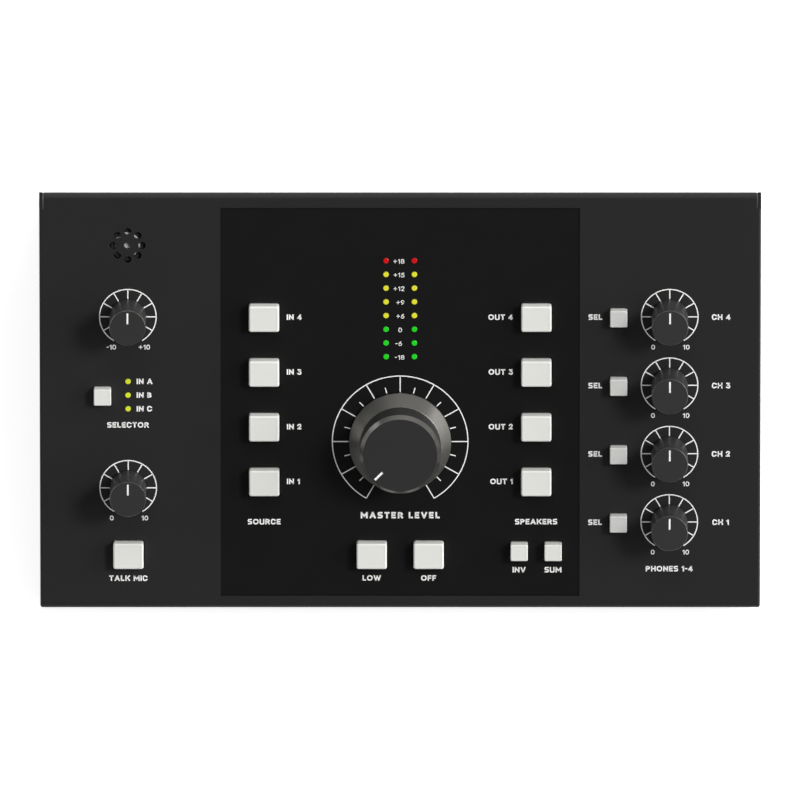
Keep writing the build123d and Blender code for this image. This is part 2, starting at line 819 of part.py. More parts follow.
# The last place of the lower row stays free: there are seven line outputs and six inputs.
line_jack_places = [
    (first_line_s + column * jack_pitch, z)
    for column in range(line_jack_columns)
    for z in rows_z
    if column < line_jack_columns - 1 or z == upper_row_z
]
digital_s = last_line_s + jack_width / 2 + socket_gap + coax_body / 2
coax_place = (digital_s, upper_row_z)
aux_place = (digital_s, lower_row_z)
optical_place = (digital_s + coax_body / 2 + socket_gap + optical_width / 2, lower_row_z)
power_z = (upper_row_z + lower_row_z) / 2
inlet_s = optical_place[0] + optical_width / 2 + rear_inlet_share * rear_room + inlet_half_width
switch_s = inlet_s + inlet_half_width + rear_switch_share * rear_room + switch_half_width
inlet_place = (inlet_s, power_z)
switch_place = (switch_s, power_z)
behind_panel = rear.offset(-sheet)
shoulder_hole_radius = coax_shoulder_radius + bush_hole_gap
rear_screws = [
    ((place - (screws_per_row - 1) / 2) * rear_screw_spacing, rear_face_y - lip_width / 2 - sheet / 2)
    for place in range(screws_per_row)
]

# ---- Connector panel: folded steel, standing on the base plate inside the case's rear edge ----
panel_limits_x = (base_gap - inner_half_width, inner_half_width - base_gap)
panel_front_y = rear_face_y - sheet
with BuildPart() as connector_panel:
    span_box(
        panel_limits_x,
        (panel_front_y, rear_face_y),
        (base_top_z, panel_z(panel_front_y, 2 * sheet) - panel_head_gap),
    )
    span_box(
        panel_limits_x,
        (rear_face_y - lip_width, rear_face_y),
        (base_top_z, base_top_z + sheet),
    )
    with BuildSketch(rear):
        with Locations(*phones_jack_places, *line_jack_places):
            Circle(jack_bush_radius + bush_hole_gap)
        with Locations(coax_place):
            Circle(shoulder_hole_radius)
        with Locations(aux_place):
            Circle(aux_bush_radius + bush_hole_gap)
        with Locations(optical_place):
            Rectangle(
                optical_width - 2 * optical_step + 2 * bush_hole_gap,
                optical_height - 2 * optical_step + 2 * bush_hole_gap,
            )
        with Locations(inlet_place):
            Circle(inlet_radius + bush_hole_gap)
        with Locations(switch_place):
            Rectangle(
                rocker_switch_width + 2 * bush_hole_gap, rocker_switch_height + 2 * bush_hole_gap
            )
    extrude(amount=-2 * sheet, mode=Mode.SUBTRACT)
    with Locations(*[(x, y, base_top_z) for x, y in rear_screws]):
        Cylinder(thread_radius, 4 * sheet, mode=Mode.SUBTRACT)
finish(connector_panel, "connector_panel")


# ---- Jacks: moulded bodies behind the panel, each with a threaded bush through it ----
def jacks(places):
    """Quarter-inch jacks at the given places, blind behind a bore that takes the whole plug."""
    with BuildPart(behind_panel) as sockets:
        with Locations(*places):
            Box(jack_width, jack_height, jack_depth, align=inward)
            Cylinder(jack_bush_radius, sheet + jack_bush_length, align=upward)
        with BuildSketch(rear.offset(jack_bush_length)):
            with Locations(*places):
                Circle(jack_bore_radius)
        extrude(amount=-jack_bore_depth, mode=Mode.SUBTRACT)
    return sockets


finish(jacks(line_jack_places), "line_jacks")
finish(jacks(phones_jack_places), "phones_jacks")

with BuildPart() as jack_nuts:
    with BuildSketch(rear):
        with Locations(*phones_jack_places, *line_jack_places):
            RegularPolygon(nut_width / 2, side_count=6, major_radius=False)
            Circle(jack_bush_radius + bush_fit, mode=Mode.SUBTRACT)
    extrude(amount=nut_height)
    with BuildSketch(rear):
        with Locations(aux_place):
            Circle(aux_nut_radius)
            Circle(aux_bush_radius + bush_fit, mode=Mode.SUBTRACT)
    extrude(amount=aux_nut_height)
    with BuildSketch(behind_panel):
        with Locations(inlet_place):
            RegularPolygon(inlet_nut_width / 2, side_count=6, major_radius=False)
            Circle(inlet_radius + bush_fit, mode=Mode.SUBTRACT)
    extrude(amount=-inlet_nut_height)
finish(jack_nuts, "jack_nuts")

# ---- Coaxial socket: a moulded block with a metal barrel round its centre contact ----
with BuildPart(behind_panel) as coax_socket:
    with Locations(coax_place):
        Box(coax_body, coax_body, coax_body, align=inward)
        Cylinder(coax_shoulder_radius, sheet + coax_shoulder_height, align=upward)
        Cylinder(
            coax_barrel_radius, sheet + coax_shoulder_height + coax_barrel_length, align=upward
        )
    with BuildSketch(rear.offset(coax_shoulder_height + coax_barrel_length)):
        with Locations(coax_place):
            Circle(coax_bore_radius)
    extrude(amount=-coax_bore_depth, mode=Mode.SUBTRACT)
finish(coax_socket, "coax_socket")

# ---- Auxiliary socket: a 3.5 mm jack with a threaded bush ----
with BuildPart(behind_panel) as aux_socket:
    with Locations(aux_place):
        Box(aux_width, aux_height, aux_depth, align=inward)
        Cylinder(aux_bush_radius, sheet + aux_bush_length, align=upward)
    with BuildSketch(rear.offset(aux_bush_length)):
        with Locations(aux_place):
            Circle(aux_bore_radius)
    extrude(amount=-aux_bore_depth, mode=Mode.SUBTRACT)
finish(aux_socket, "aux_socket")

# ---- Optical socket: a moulded block whose frame passes through the panel ----
with BuildPart(behind_panel) as optical_socket:
    with Locations(optical_place):
        Box(optical_width, optical_height, optical_depth, align=inward)
        Box(
            optical_width - 2 * optical_step,
            optical_height - 2 * optical_step,
            sheet + optical_proud,
            align=upward,
        )
    with BuildSketch(rear.offset(optical_proud)):
        with Locations(optical_place):
            Rectangle(
                optical_width - 2 * optical_step - 2 * optical_frame,
                optical_height - 2 * optical_step - 2 * optical_frame,
            )
    extrude(amount=-optical_bore_depth, mode=Mode.SUBTRACT)
finish(optical_socket, "optical_socket")

# ---- Power inlet: a threaded barrel with a flange outside, a nut inside and a centre pin ----
with BuildPart(rear) as power_inlet:
    with Locations(inlet_place):
        Cylinder(inlet_radius, inlet_depth, align=inward)
        Cylinder(inlet_flange_radius, inlet_flange_height, align=upward)
    with BuildSketch(rear.offset(inlet_flange_height)):
        with Locations(inlet_place):
            Circle(inlet_bore_radius)
            Circle(inlet_pin_radius, mode=Mode.SUBTRACT)
    extrude(amount=-inlet_bore_depth, mode=Mode.SUBTRACT)
    with BuildSketch(rear.offset(inlet_flange_height)):
        with Locations(inlet_place):
            Circle(inlet_pin_radius)
    extrude(amount=-inlet_pin_recess, mode=Mode.SUBTRACT)
finish(power_inlet, "power_inlet")

# ---- Power switch: a moulded housing with a bezel, and a rocker on two trunnions in it ----
rocker_cavity_width = rocker_switch_width - 2 * rocker_wall
rocker_cavity_height = rocker_switch_height - 2 * rocker_wall
switch_x = -switch_place[0]
pivot_y = rear_face_y + rocker_bezel_height - rocker_pivot_depth
pivot = (switch_x, pivot_y, power_z)
with BuildPart(rear) as power_switch:
    with Locations(switch_place):
        Box(rocker_switch_width, rocker_switch_height, rocker_switch_depth, align=inward)
        Box(
            rocker_switch_width + 2 * rocker_bezel_edge,
            rocker_switch_height + 2 * rocker_bezel_edge,
            rocker_bezel_height,
            align=upward,
        )
    with BuildSketch(rear.offset(rocker_bezel_height)):
        with Locations(switch_place):
            Rectangle(rocker_cavity_width, rocker_cavity_height)
    extrude(amount=-rocker_bezel_height - rocker_cavity_depth, mode=Mode.SUBTRACT)
    with BuildSketch(Plane.YZ.offset(switch_x)):
        with Locations((pivot_y, power_z)):
            Circle(trunnion_radius + trunnion_fit)
    trunnion_reach = rocker_cavity_width / 2 + trunnion_engagement
    extrude(amount=trunnion_reach + trunnion_fit, both=True, mode=Mode.SUBTRACT)
    with BuildSketch(rear.offset(-rocker_switch_depth)):
        with Locations(switch_place):
            with GridLocations(0, 2 * terminal_offset, 1, 2):
                Rectangle(terminal_width, terminal_thickness)
    extrude(amount=-terminal_length)
finish(power_switch, "power_switch")

tilt = radians(rocker_tilt)
rocker_side = Plane(origin=pivot, x_dir=(0, cos(tilt), -sin(tilt)), z_dir=(1, 0, 0))
rocker_width = rocker_cavity_width - 2 * rocker_gap
face_reach = rocker_pivot_depth + rocker_proud
ridge_reach = rocker_pivot_depth + rocker_ridge
back_reach = rocker_back_depth - rocker_pivot_depth
with BuildPart() as power_rocker:
    with BuildSketch(rocker_side):
        with BuildLine():
            Polyline(
                (ridge_reach, 0),
                (face_reach, rocker_half_length),
                (0, rocker_half_length),
                (-back_reach, rocker_back_half),
                (-back_reach, -rocker_back_half),
                (0, -rocker_half_length),
                (face_reach, -rocker_half_length),
                close=True,
            )
        make_face()
    extrude(amount=rocker_width / 2, both=True)
    with BuildSketch(rocker_side):
        Circle(trunnion_radius)
    extrude(amount=trunnion_reach, both=True)
finish(power_rocker, "power_rocker")

# ---- Connector board: stands upright behind the jacks, which are soldered to it ----
board_low_s = first_jack_s - jack_width / 2 - connector_board_margin
board_high_s = last_line_s + jack_width / 2 + connector_board_margin
connector_board_foot_z = base_top_z + 2 * sheet
with BuildPart() as connector_board:
    span_box(
        (-board_high_s, -board_low_s),
        (connector_board_y, jack_back_y),
        (connector_board_foot_z, connector_board_top_z),
    )
finish(connector_board, "connector_board")

# ---- Relays: sealed boxes in a row on the front of the connector board ----
relay_places = [
    (board_low_s + relay_inset + place * (relay_length + relay_spacing), lower_row_z)
    for place in range(relays)
]
with BuildPart(rear.offset(connector_board_y - rear_face_y)) as relay_row:
    with Locations(*relay_places):
        Box(relay_length, relay_width, relay_height, align=inward)
finish(relay_row, "relays")

# ---- Supply capacitors: cans that hang under the control board ----
capacitor_pitch = 2 * capacitor_radius + capacitor_spacing
capacitor_end_x = capacitor_inset - board_half_width
with BuildPart(panel.offset(board_back)) as supply_capacitors:
    with Locations(
        *[(capacitor_end_x + place * capacitor_pitch, capacitor_v) for place in range(capacitors)]
    ):
        Cylinder(capacitor_radius, capacitor_length, align=inward)
finish(supply_capacitors, "supply_capacitors")

# ---- Ribbon cable: flat cable from a header under the control board to one on the other board ----
ribbon_start = panel.from_local_coords((ribbon_x, 0, board_back - header_depth))
ribbon_end_y = connector_board_y - header_depth
ribbon_corner_y = ribbon_start.Y + (ribbon_start.Z - lower_row_z) * tan(slope)
with BuildPart() as ribbon_cable:
    with BuildSketch(Plane.YZ.offset(ribbon_x)):
        with BuildLine():
            FilletPolyline(
                (ribbon_start.Y, ribbon_start.Z),
                (ribbon_corner_y, lower_row_z),
                (ribbon_end_y, lower_row_z),
                radius=ribbon_radius,
            )
        trace(line_width=ribbon_thickness)
    extrude(amount=ribbon_width / 2, both=True)
    span_box(
        (ribbon_x - header_width / 2, ribbon_x + header_width / 2),
        (ribbon_end_y, connector_board_y),
        (lower_row_z - header_height / 2, lower_row_z + header_height / 2),
    )
    with BuildSketch(panel.offset(board_back)):
        with Locations((ribbon_x, 0)):
            Rectangle(header_width, header_height)
    extrude(amount=-header_depth)
finish(ribbon_cable, "ribbon_cable")

# ---- Base plate: flat steel sheet that closes the case from below ----
feet_places = [
    (side * (half_width - foot_inset_x), end * (half_depth - foot_inset_y))
    for side in (-1, 1)
    for end in (-1, 1)
]
case_screw_places = front_screws + side_screws + rear_screws
with BuildPart() as base_plate:
    span_box(
        panel_limits_x,
        (sheet + base_gap - half_depth, half_depth - ledge_gap),
        (foot_height, base_top_z),
    )
    with Locations(*[(x, y, foot_height) for x, y in case_screw_places]):
        Cylinder(screw_hole_radius, 4 * base_sheet, mode=Mode.SUBTRACT)
    with Locations(*[(x, y, foot_height) for x, y in feet_places]):
        Cylinder(thread_radius, 4 * base_sheet, mode=Mode.SUBTRACT)
finish(base_plate, "base_plate")

case_screws = pan_screws(Plane.XY.offset(foot_height), case_screw_places, case_screw_length)
finish(case_screws, "case_screws")

# ---- Rubber feet: slightly tapered, each with a pan-head screw sunk in it ----
with BuildPart() as rubber_feet:
    with Locations(*feet_places):
        Cone(foot_base_radius, foot_radius, foot_height, align=upward)
        Cylinder(foot_recess_radius, foot_recess_depth, align=upward, mode=Mode.SUBTRACT)
        Cylinder(screw_hole_radius, foot_height, align=upward, mode=Mode.SUBTRACT)
finish(rubber_feet, "rubber_feet")

foot_screws = pan_screws(Plane.XY.offset(foot_recess_depth), feet_places, foot_screw_length)
finish(foot_screws, "foot_screws")
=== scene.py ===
import json
from math import cos, pi, radians, sin

import bmesh
import bpy
from mathutils import Matrix, Vector


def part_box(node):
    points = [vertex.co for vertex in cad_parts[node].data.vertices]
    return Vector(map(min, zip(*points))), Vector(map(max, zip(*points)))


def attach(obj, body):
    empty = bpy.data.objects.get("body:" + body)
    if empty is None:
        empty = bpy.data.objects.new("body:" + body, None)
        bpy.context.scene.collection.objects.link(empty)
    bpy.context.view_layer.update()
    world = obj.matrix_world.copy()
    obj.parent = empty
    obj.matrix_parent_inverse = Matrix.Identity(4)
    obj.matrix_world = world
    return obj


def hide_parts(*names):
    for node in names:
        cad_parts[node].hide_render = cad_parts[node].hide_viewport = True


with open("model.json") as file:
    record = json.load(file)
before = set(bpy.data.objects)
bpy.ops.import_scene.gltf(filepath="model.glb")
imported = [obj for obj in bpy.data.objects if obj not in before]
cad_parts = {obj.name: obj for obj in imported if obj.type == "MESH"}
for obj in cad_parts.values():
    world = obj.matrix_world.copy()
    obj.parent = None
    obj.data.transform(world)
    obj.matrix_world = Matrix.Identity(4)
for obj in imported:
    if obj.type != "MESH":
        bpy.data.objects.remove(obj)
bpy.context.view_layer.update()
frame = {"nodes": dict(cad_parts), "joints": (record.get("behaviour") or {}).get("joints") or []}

# ---- Top cover -------------------------------
# One laser-cut steel sheet, folded into the sloping panel, the front, the sides and a short rear
# flange, and powder-coated in a fine matt charcoal. Places on its panel are in mm: x across, v up
# the slope from the middle, and h along the panel's normal.
cover_color = (32, 31, 32)
cover_grain = 2200  # grains of the powder per metre
cover_grain_depth = 0.008
case_body = "case"

nodes = frame["nodes"]
joints = {joint["name"]: joint for joint in frame["joints"]}
main_turn = joints["main_knob_turn"]
panel_normal = -Vector(main_turn["axis"])
panel_up = panel_normal.cross(Vector((1, 0, 0)))
main_foot = Vector(main_turn["pos_m"])


def place_of(origin, across, up):
    """The matrix from mm along two axes and out of their plane to the object's frame."""
    turn = Matrix((across, up, across.cross(up))).transposed().to_4x4()
    return Matrix.Translation(origin) @ turn @ Matrix.Scale(0.001, 4)


panel_origin = main_foot - panel_up * (main_foot.y / panel_up.y)
panel = place_of(panel_origin, Vector((1, 0, 0)), panel_up)


def linear(color):
    """A colour of 0 to 255 in each channel as linear light."""
    shares = [channel / 255 for channel in color]
    return [s / 12.92 if s <= 0.04045 else ((s + 0.055) / 1.055) ** 2.4 for s in shares]


def set_inputs(node, values):
    """Sets a node's inputs by name or number."""
    for socket, value in values.items():
        node.inputs[socket].default_value = value


def add_node(tree, kind, values=None, **settings):
    """A node with its settings and its inputs."""
    node = tree.nodes.new("ShaderNode" + kind)
    for setting, value in settings.items():
        setattr(node, setting, value)
    set_inputs(node, values or {})
    return node


def link(tree, *pairs):
    """Joins each pair of an output and an input."""
    for source, socket in pairs:
        tree.links.new(source, socket)


def calculate(tree, operation, first, second):
    """A math node on two sockets or numbers, and its result."""
    node = add_node(tree, "Math", operation=operation)
    for socket, value in zip(node.inputs, (first, second)):
        if isinstance(value, (int, float)):
            socket.default_value = value
        else:
            tree.links.new(value, socket)
    return node.outputs[0]


def scaled(tree, color, share):
    """A colour times a share."""
    node = add_node(tree, "VectorMath", operation="SCALE")
    link(tree, (color, node.inputs[0]), (share, node.inputs["Scale"]))
    return node.outputs[0]


def swing(tree, cloud, share, middle):
    """A cloud of 0 to 1 that swings by a share about a middle."""
    about_zero = calculate(tree, "SUBTRACT", cloud.outputs["Fac"], 0.5)
    return calculate(tree, "ADD", calculate(tree, "MULTIPLY", about_zero, share), middle)


# Fine grain for the height, and two soft clouds: one for the tone and one for handling smudges.
grain_sockets = {
    "INPUT": ("Color", "Tone", "Roughness", "Smudge", "Scale"),
    "OUTPUT": ("Color", "Roughness", "Height"),
}
grain_group = bpy.data.node_groups.new("fine_grain", "ShaderNodeTree")
for in_out, labels in grain_sockets.items():
    for label in labels:
        kind = "NodeSocketColor" if label == "Color" else "NodeSocketFloat"
        grain_group.interface.new_socket(label, in_out=in_out, socket_type=kind)
given = grain_group.nodes.new("NodeGroupInput").outputs
result = grain_group.nodes.new("NodeGroupOutput").inputs
where = add_node(grain_group, "TexCoord").outputs["Object"]
fine = add_node(grain_group, "TexNoise", {"Detail": 2.0, "Roughness": 0.6})
tone_cloud = add_node(grain_group, "TexNoise", {"Scale": 38.0, "Detail": 3.0})
smudge_cloud = add_node(grain_group, "TexNoise", {"Scale": 70.0, "Detail": 4.0, "Distortion": 0.6})
for noise in (fine, tone_cloud, smudge_cloud):
    grain_group.links.new(where, noise.inputs["Vector"])
tone_level = swing(grain_group, tone_cloud, given["Tone"], 1.0)
rough_level = swing(grain_group, smudge_cloud, given["Smudge"], given["Roughness"])
link(
    grain_group,
    (given["Scale"], fine.inputs["Scale"]), (fine.outputs["Fac"], result["Height"]),
    (scaled(grain_group, given["Color"], tone_level), result["Color"]),
    (rough_level, result["Roughness"]),
)


def finish(name, color, roughness, tone=0.08, smudge=0.08, grain=2500, depth=0.004, shader=None):
    """A material with a fine grain: grains per metre, their depth in mm, and shader settings."""
    made = bpy.data.materials.new(name)
    made.use_nodes = True
    tree = made.node_tree
    principled = tree.nodes["Principled BSDF"]
    values = {
        "Color": (*linear(color), 1), "Tone": tone, "Roughness": roughness, "Smudge": smudge,
        "Scale": grain,
    }
    surface = add_node(tree, "Group", values, node_tree=grain_group).outputs
    bump = add_node(tree, "Bump", {"Distance": depth * 0.001})
    link(
        tree,
        (surface["Color"], principled.inputs["Base Color"]),
        (surface["Roughness"], principled.inputs["Roughness"]),
        (surface["Height"], bump.inputs["Height"]),
        (bump.outputs["Normal"], principled.inputs["Normal"]),
    )
    set_inputs(principled, shader or {})
    return made


weld_distance = 1e-6  # metres
flat_angle, sharp_angle = radians(0.5), radians(40)


def dress(node, material, edge=0.0):
    """Gives a CAD node its material, and rounds its edges by some mm where that is wanted."""
    made = nodes[node]
    made.data.materials.clear()
    made.data.materials.append(material)
    if edge:
        weld = made.modifiers.new("weld", "WELD")
        weld.merge_threshold = weld_distance
        flats = made.modifiers.new("flats", "DECIMATE")
        flats.decimate_type = "DISSOLVE"
        flats.angle_limit = flat_angle
        rounding = made.modifiers.new("rounding", "BEVEL")
        rounding.width = edge * 0.001
        rounding.segments = 2
        rounding.limit_method = "ANGLE"
        rounding.angle_limit = sharp_angle
        rounding.use_clamp_overlap = True


powder_coat = finish(
    "charcoal_powder_coat", cover_color, 0.55, grain=cover_grain, depth=cover_grain_depth,
    shader={"Specular IOR Level": 0.3},
)
dress("top_cover", powder_coat)

# ---- Centre fascia and its carrier -----------
# A thin aluminium plate, blasted and anodised black, lies in the cover's window. A bare steel
# plate spot-welded behind the window carries it and is seen only through the small gaps.
fascia_color = (14, 14, 14)
black_anodised = finish(
    "black_anodised", fascia_color, 0.5, tone=0.05, grain=5000, depth=0.003,
    shader={"Specular IOR Level": 0.2},
)
dress("centre_fascia", black_anodised)
zinc_plate = finish("zinc_plate", (150, 150, 155), 0.42, smudge=0.2, shader={"Metallic": 0.9})
dress("fascia_carrier", zinc_plate)

fascia_level = -0.3  # the fascia's face lies this far below the cover's

# ---- Printed legends -------------------------
# White ink, screen-printed on the cover and the fascia: scales round the dials, the level numbers
# between the lamps, and plain words and numbers beside the controls.
ink_thickness = 0.05
ink_proud = 0.025
number_height = 1.85
number_reach = 6.15  # from a dial's middle to its end numbers, across and down
number_drop = 11.64
word_height = 2.12
caption_drop = 9.37  # from a large button to the word under it
small_caption_drop = 7.53
group_drop = 15.71  # from the lowest button of a column to the word under the column
title_height = 2.46
title_gap = 0.27
title_drop = 28.37
meter_height = 1.73
meter_gap = 0.2
meter_drop = 0.27
meter_ends = 0.66, 1.55  # the right ends of its short and its long numbers, from its middle
lamp_pitch = 5.27
white_ink = finish("white_ink", (252, 252, 250), 0.6, tone=0.03, depth=0.002)


def middle_of(node, place=panel):
    """The middle of a CAD node along the two axes of a place, in mm."""
    into_place = place.inverted()
    spots = [into_place @ vertex.co for vertex in nodes[node].data.vertices]
    return [(min(values) + max(values)) / 2 for values in zip(*spots)][:2]


def spot_of(node, place=panel):
    """The matrix that puts a shape in the middle of a CAD node."""
    return Matrix.Translation((*middle_of(node, place), 0))


# Each letter is its width in capitals' heights, and its strokes between (0, 0) and (1, 1). A stroke
# of two points is straight, a longer one is rounded, and one that returns to its start is closed.
left, right, top_bar, foot_bar = ((0, 0), (0, 1)), ((1, 0), (1, 1)), ((0, 1), (1, 1)), ((0, 0), (1, 0))
middle_bar, ring = ((0, 0.5), (1, 0.5)), ((0, 0), (1, 0), (1, 1), (0, 1), (0, 0))
letter_strokes = {
    " ": (0.3,),
    "+": (0.74, middle_bar, ((0.5, 0.15), (0.5, 0.85))),
    "-": (0.42, middle_bar),
    "0": (0.76, ring),
    "1": (0.44, ((1, 0), (1, 1)), ((1, 0.98), (0.1, 0.8))),
    "2": (0.72, ((0, 0.8), (0.1, 1.02), (1, 1.04), (1, 0.5), (0, 0)), foot_bar),
    "3": (0.74, ((0.1, 1), (0.9, 1)), ((0.88, 0.96), (0.5, 0.62)),
          ((0.45, 0.6), (1.02, 0.66), (1.02, -0.06), (0.3, -0.03), (0.02, 0.12))),
    "4": (0.8, ((0.75, 0), (0.75, 1)), ((0.7, 0.95), (0, 0.28)), ((0, 0.25), (1, 0.25))),
    "5": (0.72, ((0.15, 1), (0.95, 1)), ((0.12, 1), (0.12, 0.6)),
          ((0.12, 0.6), (1.05, 0.72), (1.05, -0.04), (0.15, -0.02), (0, 0.12))),
    "6": (0.76, ((0.75, 1), (0.1, 0.75), (0, 0.3)), ((0, 0), (1, 0), (1, 0.62), (0, 0.62), (0, 0))),
    "7": (0.7, top_bar, ((0.98, 1), (0.35, 0))),
    "8": (0.76, ((0.06, 0.54), (0.94, 0.54), (0.94, 1), (0.06, 1), (0.06, 0.54)),
          ((0, 0), (1, 0), (1, 0.54), (0, 0.54), (0, 0))),
    "9": (0.76, ((0.25, 0), (0.9, 0.25), (1, 0.7)), ((0, 0.38), (1, 0.38), (1, 1), (0, 1), (0, 0.38))),
    "A": (0.96, ((0.02, 0), (0.46, 1)), ((0.98, 0), (0.54, 1)), ((0.25, 0.28), (0.75, 0.28))),
    "B": (0.8, left, ((0, 1), (0.9, 1), (0.9, 0.52), (0, 0.52)), ((0, 0.52), (1, 0.52), (1, 0), (0, 0))),
    "C": (0.88, ((0.98, 0.84), (0.75, 1.02), (0, 1.04), (0, -0.04), (0.75, -0.02), (0.98, 0.16))),
    "E": (0.7, left, top_bar, ((0, 0.5), (0.85, 0.5)), foot_bar),
    "F": (0.68, left, top_bar, ((0, 0.47), (0.85, 0.47))),
    "H": (0.84, left, right, middle_bar),
    "I": (0.22, left),
    "K": (0.86, left, ((0.95, 1), (0.1, 0.38)), ((0.38, 0.6), (1, 0))),
    "L": (0.64, left, foot_bar),
    "M": (1.06, left, right, ((0.02, 0.98), (0.48, 0.3)), ((0.98, 0.98), (0.52, 0.3))),
    "N": (0.86, left, right, ((0.03, 0.98), (0.97, 0.02))),
    "O": (1.0, ring),
    "P": (0.78, left, ((0, 1), (1, 1), (1, 0.42), (0, 0.42))),
    "R": (0.82, left, ((0, 1), (0.97, 1), (0.97, 0.44), (0, 0.44)), ((0.5, 0.44), (0.98, 0))),
    "S": (0.76, ((0.95, 1), (0.35, 1), (-0.02, 0.98), (-0.02, 0.56), (0.3, 0.52), (0.7, 0.48),
                 (1.02, 0.44), (1.02, 0.02), (0.65, 0), (0.05, 0))),
    "T": (0.76, top_bar, ((0.5, 0), (0.5, 1))),
    "U": (0.86, ((0, 1), (0, 0.4), (0, -0.04), (1, -0.04), (1, 0.4), (1, 1))),
    "V": (0.92, ((0.02, 1), (0.46, 0)), ((0.98, 1), (0.54, 0))),
    "W": (1.3, ((0.02, 1), (0.25, 0)), ((0.27, 0), (0.49, 0.9)), ((0.51, 0.9), (0.73, 0)),
          ((0.98, 1), (0.75, 0))),
}
# The widths of the strokes and the gap between letters, in capitals' heights.
word_pen, number_pen, meter_pen, title_pen = 0.232, 0.18, 0.15, 0.26
letter_gap = 0.15


def nib_of(pen):
    """A flat nib that draws strokes of a width, one unit thick."""
    nib = bpy.data.curves.new("nib", "CURVE")
    outline = nib.splines.new("POLY")
    outline.points.add(3)
    outline.use_cyclic_u = True
    for point, (side, level) in zip(outline.points, ((-1, -1), (1, -1), (1, 1), (-1, 1))):
        point.co = (side * pen / 2, level / 2, 0, 1)
    return bpy.data.objects.new("nib", nib)


nibs = {pen: nib_of(pen) for pen in (word_pen, number_pen, meter_pen, title_pen)}


def in_scene(name, data):
    """A new object in the scene."""
    made = bpy.data.objects.new(name, data)
    bpy.context.scene.collection.objects.link(made)
    return made


def letters(text, gap, pen):
    """Text in strokes, with capitals one unit high and one unit thick, and its width."""
    curve = bpy.data.curves.new("letters", "CURVE")
    curve.dimensions = "3D"
    curve.twist_mode = "Z_UP"
    curve.resolution_u = 4
    curve.bevel_mode = "OBJECT"
    curve.bevel_object = nibs[pen]
    curve.use_fill_caps = True
    start = 0.0
    for letter in text:
        width, *strokes = letter_strokes[letter]
        size = Vector((width - pen, 1 - pen))
        for stroke in strokes:
            spots = [Vector(spot) * size + Vector((start + pen / 2, pen / 2)) for spot in stroke]
            closed = stroke[0] == stroke[-1]
            if closed:
                spots.pop()
            else:
                spots[0] += (spots[0] - spots[1]).normalized() * pen / 2
                spots[-1] += (spots[-1] - spots[-2]).normalized() * pen / 2
            line = curve.splines.new("NURBS" if len(spots) > 2 else "POLY")
            line.points.add(len(spots) - 1)
            for point, spot in zip(line.points, spots):
                point.co = (*spot, 0, 1)
            line.use_cyclic_u = closed
            line.order_u = 3
            line.use_endpoint_u = not closed
        start += width + gap
    writing = in_scene("letters", curve)
    bpy.context.view_layer.update()
    mesh = bpy.data.meshes.new_from_object(writing.evaluated_get(bpy.context.evaluated_depsgraph_get()))
    bpy.data.objects.remove(writing)
    bpy.data.curves.remove(curve)
    return mesh, start - gap


def print_word(ink, text, x, v, height, face, side=0, gap=letter_gap, pen=word_pen):
    """Adds a word to the ink, its middle at (x, v), or its left (-1) or right (1) end at x."""
    mesh, width = letters(text, gap, pen)
    start = x - (1 + side) * width * height / 2
    level = face + ink_proud - ink_thickness / 2
    place = Matrix.Translation((start, v - height / 2, level))
    mesh.transform(place @ Matrix.Diagonal((height, height, ink_thickness, 1)))
    ink.from_mesh(mesh)
    bpy.data.meshes.remove(mesh)


def around(width):
    """The limits of a width about zero."""
    return -width / 2, width / 2


def add_box(shape, *limits, place=Matrix(), finish_index=0):
    """Adds a box between two limits on each axis of a place, in one of the shape's finishes."""
    middle = Matrix.Translation([(low + high) / 2 for low, high in limits])
    size = Matrix.Diagonal([high - low for low, high in limits] + [1])
    for corner in bmesh.ops.create_cube(shape, size=1, matrix=place @ middle @ size)["verts"]:
        for face in corner.link_faces:
            face.material_index = finish_index


def print_arc(ink, place, radius, width, start, sweep, face):
    """Adds an arc about the place's middle, from one angle on, in degrees."""
    top = face + ink_proud
    corners = [
        (radius + side * width / 2, 0, level)
        for side, level in ((-1, top), (1, top), (1, top - ink_thickness), (-1, top - ink_thickness))
    ]
    ends = [ink.verts.new(corner) for corner in corners]
    loop = [ink.edges.new((ends[i - 1], ends[i])) for i in range(4)]
    known = set(ink.verts) - set(ends)
    bmesh.ops.spin(
        ink, geom=ends + loop, cent=(0, 0, 0), axis=(0, 0, 1), angle=radians(sweep), steps=int(sweep / 3)
    )
    arc = [vertex for vertex in ink.verts if vertex not in known]
    bmesh.ops.holes_fill(ink, edges=[edge for edge in ink.edges if edge.is_boundary], sides=4)
    bmesh.ops.transform(ink, matrix=place @ Matrix.Rotation(radians(start), 4, "Z"), verts=arc)


# The radius and stroke of a dial's arc, and the inner radius and stroke of its ticks.
small_scale = (10.52, 0.4, 6.84, 0.42)
main_scale = (25.22, 0.39, 19.1, 0.4)
minor_tick = (19.2, 21.4, 0.4)  # inner and outer radius, and width
scale_half_turn = 150  # the arc runs this far each way from straight up


def print_ticks(ink, x, v, angles, inner, outer, width, face):
    """Ticks about a dial's middle, at angles from straight up."""
    top = face + ink_proud
    for angle in angles:
        turned = Matrix.Translation((x, v, 0)) @ Matrix.Rotation(radians(90 + angle), 4, "Z")
        add_box(ink, (inner, outer), around(width), (top - ink_thickness, top), place=turned)


def print_scale(ink, x, v, scale, angles, face):
    """A dial's arc and its ticks."""
    middle = Matrix.Translation((x, v, 0))
    radius, stroke, inner, tick = scale
    print_arc(ink, middle, radius, stroke, 90 - scale_half_turn, 2 * scale_half_turn, face)
    print_ticks(ink, x, v, angles, inner, radius, tick, face)


def print_words(ink, words, face):
    """Prints each word beside its piece."""
    for word, node, side, across, up in words:
        x, v = middle_of(node)
        print_word(ink, word, x + across, v + up, word_height, face, side=side)


def mesh_of(shape, name):
    """The mesh of a shape, which is used up."""
    mesh = bpy.data.meshes.new(name)
    shape.to_mesh(mesh)
    shape.free()
    return mesh


